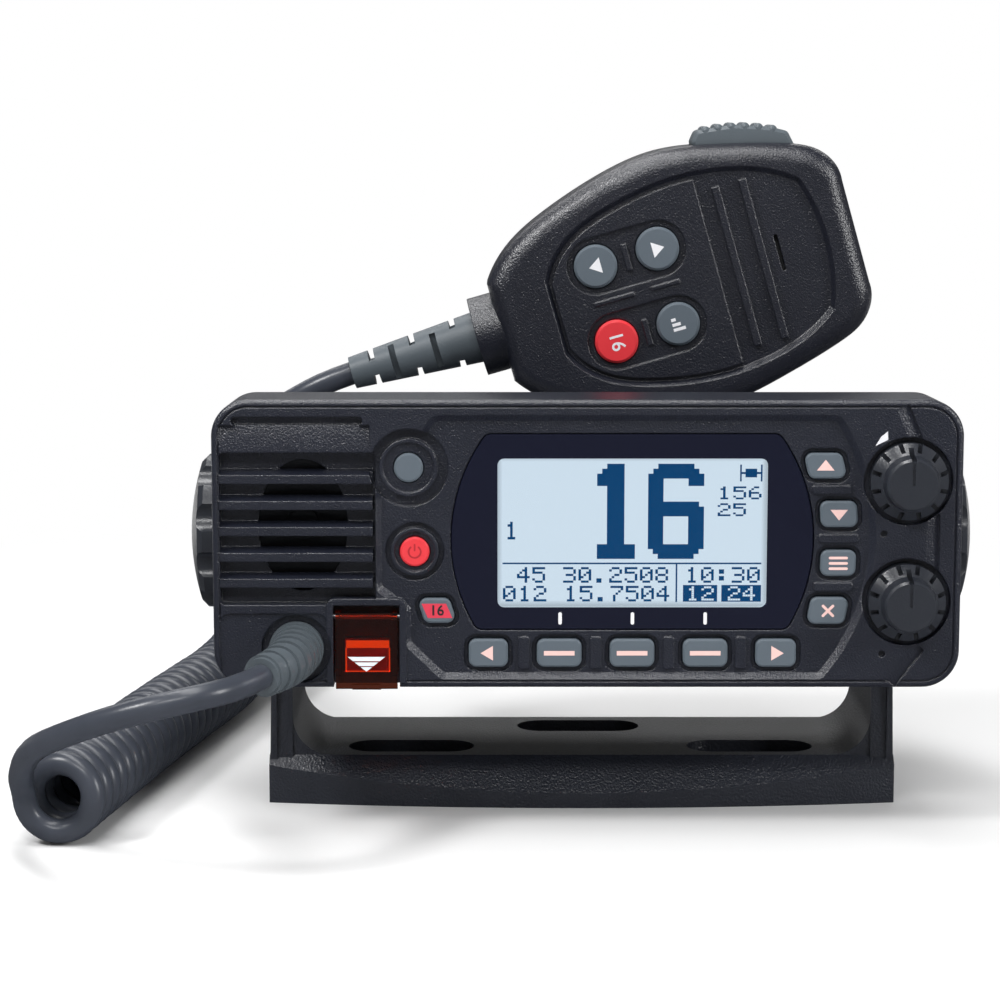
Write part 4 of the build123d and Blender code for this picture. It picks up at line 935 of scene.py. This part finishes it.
# %% Three bars and a cross
for index, rise in enumerate((-1.3, 0, 1.3)):
    bar_mark = rounded_rectangle(2.3, 0.32, 0.3, 4) + (60.4, 67.9 + rise)
    plate(f"mark_menu_key_{index}", bar_mark, key_face - ink, key_face + ink, legend_white, "menu_key_body")
arm = rounded_rectangle(2.0, 0.33, 0.3, 4)
for index, lean in enumerate((45, 135)):
    c, s = math.cos(math.radians(lean)), math.sin(math.radians(lean))
    leaning = arm @ np.array([[c, s], [-s, c]]) + (58.1, 56.3)
    front = key_face - ink * (1 + index)
    plate(f"mark_clear_key_{index}", leaning, front, key_face + ink, legend_white, "clear_key_body")
print("bars and cross printed")


# %% Figures, on the channel key
figure_share = 0.72
thickened = 0.05


def printed(name, words, height, x, z, turn, front, material, body):
    """Figures in the built-in type, height mm tall, turned about (x, z), as one flat mesh facing forward.

    A figure of that type is figure_share of its size tall, and its strokes are thickened a little.
    """
    text = bpy.data.curves.new(name, "FONT")
    text.body = words
    text.size = height / figure_share
    text.align_x = "CENTER"
    text.align_y = "CENTER"
    text.offset = thickened
    holder = bpy.data.objects.new(name, text)
    bpy.context.scene.collection.objects.link(holder)
    flat = bpy.data.meshes.new_from_object(holder.evaluated_get(bpy.context.evaluated_depsgraph_get()))
    places = np.array([vertex.co[:2] for vertex in flat.vertices])
    faces = [list(face.vertices) for face in flat.polygons]
    c, s = math.cos(math.radians(turn)), math.sin(math.radians(turn))
    turned = places @ np.array([[c, s], [-s, c]]) + (x, z)
    points = np.column_stack([turned[:, 0], np.full(len(turned), front), turned[:, 1]])
    bpy.data.objects.remove(holder)
    bpy.data.curves.remove(text)
    bpy.data.meshes.remove(flat)
    return mesh_piece(name, points, faces, material, body)


channel_x, channel_z = -36.1, 56.3
slanted = np.array([(-3.7, 1.75), (2.2, 1.75), (3.7, -1.75), (-2.2, -1.75)]) + (channel_x, channel_z)
plate("mark_channel_key", slanted, key_face - ink, key_face + ink, legend_red, "channel_key_body")
over_mark = key_face - 3 * ink
printed(
    "mark_channel_figures", "16", 2.5, channel_x, channel_z, 0, over_mark, seal_rubber, "channel_key_body"
)
print("channel key marked")


# %% Ring and bar of the power key
def ring_plate(name, x, z, outer, inner, start, sweep, front, material, body):
    """Flat ring sector: radius from inner to outer, angle from start over sweep, facing forward."""
    a = np.radians(np.linspace(start, start + sweep, 40))
    outside = np.column_stack([x + outer * np.cos(a), z + outer * np.sin(a)])
    inside = np.column_stack([x + inner * np.cos(a), z + inner * np.sin(a)])
    flat = np.concatenate([inside, outside])
    points = np.column_stack([flat[:, 0], np.full(len(flat), front), flat[:, 1]])
    i = np.arange(len(a) - 1)
    faces = np.column_stack([i, i + 1, i + 1 + len(a), i + len(a)])[:, ::-1].tolist()
    return mesh_piece(name, points, faces, material, body)


power_x, power_z = -41.4, 70.7
# The ring is open at the top, and the bar stands in the gap.
ring_plate(
    "mark_power_ring", power_x, power_z, 1.65, 1.25, 125, 290, key_face - ink, embossed_red, "power_key_body"
)
power_bar = rounded_rectangle(0.2, 0.85, 0.15, 4) + (power_x, power_z + 1.05)
plate("mark_power_bar", power_bar, key_face - ink, key_face + ink, embossed_red, "power_key_body")
print("power key marked")

# %% Ticks under the display and the volume wedge
for index, x in enumerate((-6.4, 11.05, 28.6)):
    tick = rounded_rectangle(0.42, 1.5, 0.4, 6) + (x, 54.3)
    plate(f"display_tick_{index}", tick, lens_front - ink, lens_front + ink, arrow_white, "radio")
# The front's rim lies at a depth of -59 mm.
rim_front = -59.0
wedge = [(68.7, 96.4), (70.0, 98.6), (71.6, 99.9), (71.7, 97.9), (70.3, 97.2)]
plate("volume_wedge", wedge, rim_front - ink, rim_front + ink, arrow_white, "radio")
print("ticks and wedge printed")

# %% Striped arrow on the cover
# The arrow points down at the lip that lifts the cover: three bands of one triangle. The cover's face
# lies 0.8 mm behind the lip's.
cover_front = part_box("distress_cover")[0][1] / mm + 0.8
arrow_x, arrow_low, arrow_high, arrow_half = -53.15, 41.5, 45.1, 4.5
for index, (low, high) in enumerate(((44.05, 45.1), (42.85, 43.75), (41.5, 42.6))):
    wide = [arrow_half * (z - arrow_low) / (arrow_high - arrow_low) + 0.02 for z in (low, high)]
    band = np.array([(-wide[0], low), (wide[0], low), (wide[1], high), (-wide[1], high)]) + (arrow_x, 0)
    plate(f"cover_arrow_{index}", band, cover_front - ink, cover_front + ink / 2, arrow_white, "cover")
print("arrow points down from", arrow_high, "to", arrow_low)

# %% Painted highlight on the band and rim of the distress button
button_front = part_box("distress_button")[0][1] / mm
# Painted highlight: a glowing band where light falls through the top of the cover onto the button, and thin
# glowing strips along its sides and foot.
band = [(-58.1, 46.9), (-47.7, 46.9), (-47.7, 48.7), (-58.1, 48.7)]
plate("button_highlight_band", band, button_front - 0.06, button_front + 0.1, orange_painted_highlight, "distress")
highlight_rims = [(-58.3, -58.0, 41.1, 46.9), (-47.8, -47.5, 41.1, 46.9), (-58.3, -47.5, 41.0, 41.25)]
blocks("button_highlight_rim", highlight_rims, button_front - 0.05, orange_painted_highlight, "distress")
print("button of", len(highlight_rims) + 1, "bright strips")

# %% [markdown]
# ### Marks on the microphone
#
# The microphone leans by 16 degrees, and its marks are laid out in its own frame: x along the case
# from the cord end, y across it. A turn by the lean and a shift carry them into the picture.

# %% Arrows on the microphone's keys
mic_place, mic_lean = np.array([-20.7, 118.75]), math.radians(16)
mic_turn = np.array([[math.cos(mic_lean), math.sin(mic_lean)], [-math.sin(mic_lean), math.cos(mic_lean)]])


def on_mic(places):
    """Places in the microphone's own x and y, as X and Z of the scene."""
    return np.asarray(places, float) @ mic_turn + mic_place


mic_key_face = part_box("mic_up_key")[0][1] / mm
mic_front, mic_back = mic_key_face - ink, mic_key_face + ink
arrow_head = np.array([(1.75, 0.0), (-1.35, 2.05), (-1.35, -2.05)])
mic_arrows = {"mic_down_key": (28.1, 10.0, -1), "mic_up_key": (44.5, 10.0, 1)}
for key, (x, y, way) in mic_arrows.items():
    head = on_mic(arrow_head * (way, 1) + (x, y))
    plate("mark_" + key, head, mic_front, mic_back, arrow_white, key + "_body")
print(len(mic_arrows), "arrows on the microphone")

# %% Figures and steps on the microphone's keys
red_x, red_z = on_mic([(28.1, -10.0)])[0]
across_mic = math.degrees(mic_lean) - 90
printed(
    "mark_mic_channel", "16", 3.6, red_x, red_z, across_mic, mic_front, arrow_white, "mic_channel_key_body"
)
level_left, level_half, level_pitch = -1.6, 0.4, 1.3
for index, long in enumerate((1.2, 2.2, 3.2)):
    right = level_left + long
    step = [(level_left, -level_half), (right, -level_half), (right, level_half), (level_left, level_half)]
    level = on_mic(np.array(step) + (44.5, -8.7 - level_pitch * index))
    plate(f"mark_level_{index}", level, mic_front, mic_back, arrow_white, "mic_power_level_key_body")
print("figures and steps on the microphone")

# %% [markdown]
# ## Floor and light
#
# The floor is white paper that runs into a white room. It is matt near the set, where the shadow falls,
# and from 16 to 45 cm out it turns into plain white for the camera. Photographers stand black cards
# round a dark glossy thing, so that its faces stay dark. Here the paper is dark to reflections in
# front, and turns pale from 24 to 50 cm behind, so that the bare metals at the back still shine.

# %% Floor
floor_half = 3000
floor_level = -0.05
paper_near, paper_far = 0.16, 0.45
pale_from, pale_full = 0.24, 0.5
corners = ((-1, -1), (1, -1), (1, 1), (-1, 1))
floor_points = [(floor_half * x, floor_half * y, floor_level) for x, y in corners]
floor_paint = finish("matt white paper", "#f4f4f4", 0.9)
floor = mesh_piece("floor", floor_points, [(0, 1, 2, 3)], floor_paint, None)
print("floor of", 2 * floor_half / 1000, "m")

# %% Paper's nodes
tree = floor_paint.node_tree
shader = tree.nodes["Principled BSDF"]
place = add(tree, "ShaderNodeTexCoord", {})
rays = add(tree, "ShaderNodeLightPath", {})
reach = add(tree, "ShaderNodeVectorMath", {0: place.outputs["Object"]}, operation="LENGTH")
far_off = add(tree, "ShaderNodeMapRange", {0: reach.outputs["Value"], 1: paper_near, 2: paper_far})
seen_far = {0: far_off.outputs[0], 1: rays.outputs["Is Camera Ray"]}
shown = add(tree, "ShaderNodeMath", seen_far, operation="MULTIPLY")
split = add(tree, "ShaderNodeSeparateXYZ", {0: place.outputs["Object"]})
in_front = add(tree, "ShaderNodeMapRange", {0: split.outputs[1], 1: pale_full, 2: pale_from})
mirrored = {0: rays.outputs["Is Glossy Ray"], 1: in_front.outputs[0]}
card = add(tree, "ShaderNodeMath", mirrored, operation="MULTIPLY")
tones = {0: card.outputs[0], 6: linear("#f4f4f4"), 7: linear("#3a3b3e")}
sheet = add(tree, "ShaderNodeMix", tones, data_type="RGBA")
tree.links.new(sheet.outputs[2], shader.inputs["Base Color"])
white = add(tree, "ShaderNodeEmission", {"Color": linear("#ffffff"), "Strength": 1.0})
both = add(tree, "ShaderNodeMixShader", {0: shown.outputs[0], 1: shader.outputs[0], 2: white.outputs[0]})
tree.links.new(both.outputs[0], tree.nodes["Material Output"].inputs["Surface"])
print("paper of", len(tree.nodes), "nodes")

# %% [markdown]
# ## Lamps and room
#
# Five soft lamps stand round the set: a small square one high on the left in front gives the shadows, a
# weaker one on the right fills them, two long ones, overhead and high in front, draw bright lines
# along the rounded edges, and a wide one lights the back. The room adds a little even light, and less
# of it in reflections, so that black plastic stays black. The camera sees the room as white.

# %% Lamps
aimed_at = np.array([0, 0, 0.08])
# Place, width and height in metres, and power in watts.
lamps = {
    "key_lamp": ((-0.75, -0.55, 0.95), 0.26, 0.26, 8),
    "fill_lamp": ((0.95, -0.5, 0.5), 0.2, 0.36, 5),
    "top_lamp": ((-0.1, -0.05, 0.95), 1.3, 0.22, 6.5),
    "front_lamp": ((-0.15, -1.15, 0.95), 0.6, 0.13, 4.5),
    "back_lamp": ((0.0, 1.2, 0.9), 2.0, 0.25, 5),
}
for name, (place, width, height, power) in lamps.items():
    data = bpy.data.lights.new(name, "AREA")
    data.shape = "RECTANGLE"
    data.size = width
    data.size_y = height
    data.energy = power
    lamp = bpy.data.objects.new(name, data)
    lamp.location = place
    aim = aimed_at - np.array(place)
    tilt = math.atan2(np.hypot(aim[0], aim[1]), -aim[2])
    turn = math.atan2(aim[1], aim[0]) - math.pi / 2
    lamp.rotation_euler = (tilt, 0, turn)
    bpy.context.scene.collection.objects.link(lamp)
print(len(lamps), "lamps")

# %% Room
room_light, mirrored_light = 0.2, 0.09
room = bpy.data.worlds.new("room")
room.use_nodes = True
bpy.context.scene.world = room
tree = room.node_tree
tree.nodes.clear()
rays = add(tree, "ShaderNodeLightPath", {})
dim = add(tree, "ShaderNodeMapRange", {0: rays.outputs["Is Glossy Ray"], 3: room_light, 4: mirrored_light})
plain = add(tree, "ShaderNodeBackground", {"Color": linear("#ffffff"), "Strength": dim.outputs[0]})
seen = add(tree, "ShaderNodeBackground", {"Color": linear("#ffffff"), "Strength": 1.0})
either = {0: rays.outputs["Is Camera Ray"], 1: plain.outputs[0], 2: seen.outputs[0]}
mixed = add(tree, "ShaderNodeMixShader", either)
add(tree, "ShaderNodeOutputWorld", {"Surface": mixed.outputs[0]})
bpy.context.scene.view_settings.view_transform = "Standard"
print("room of", room_light, "light")
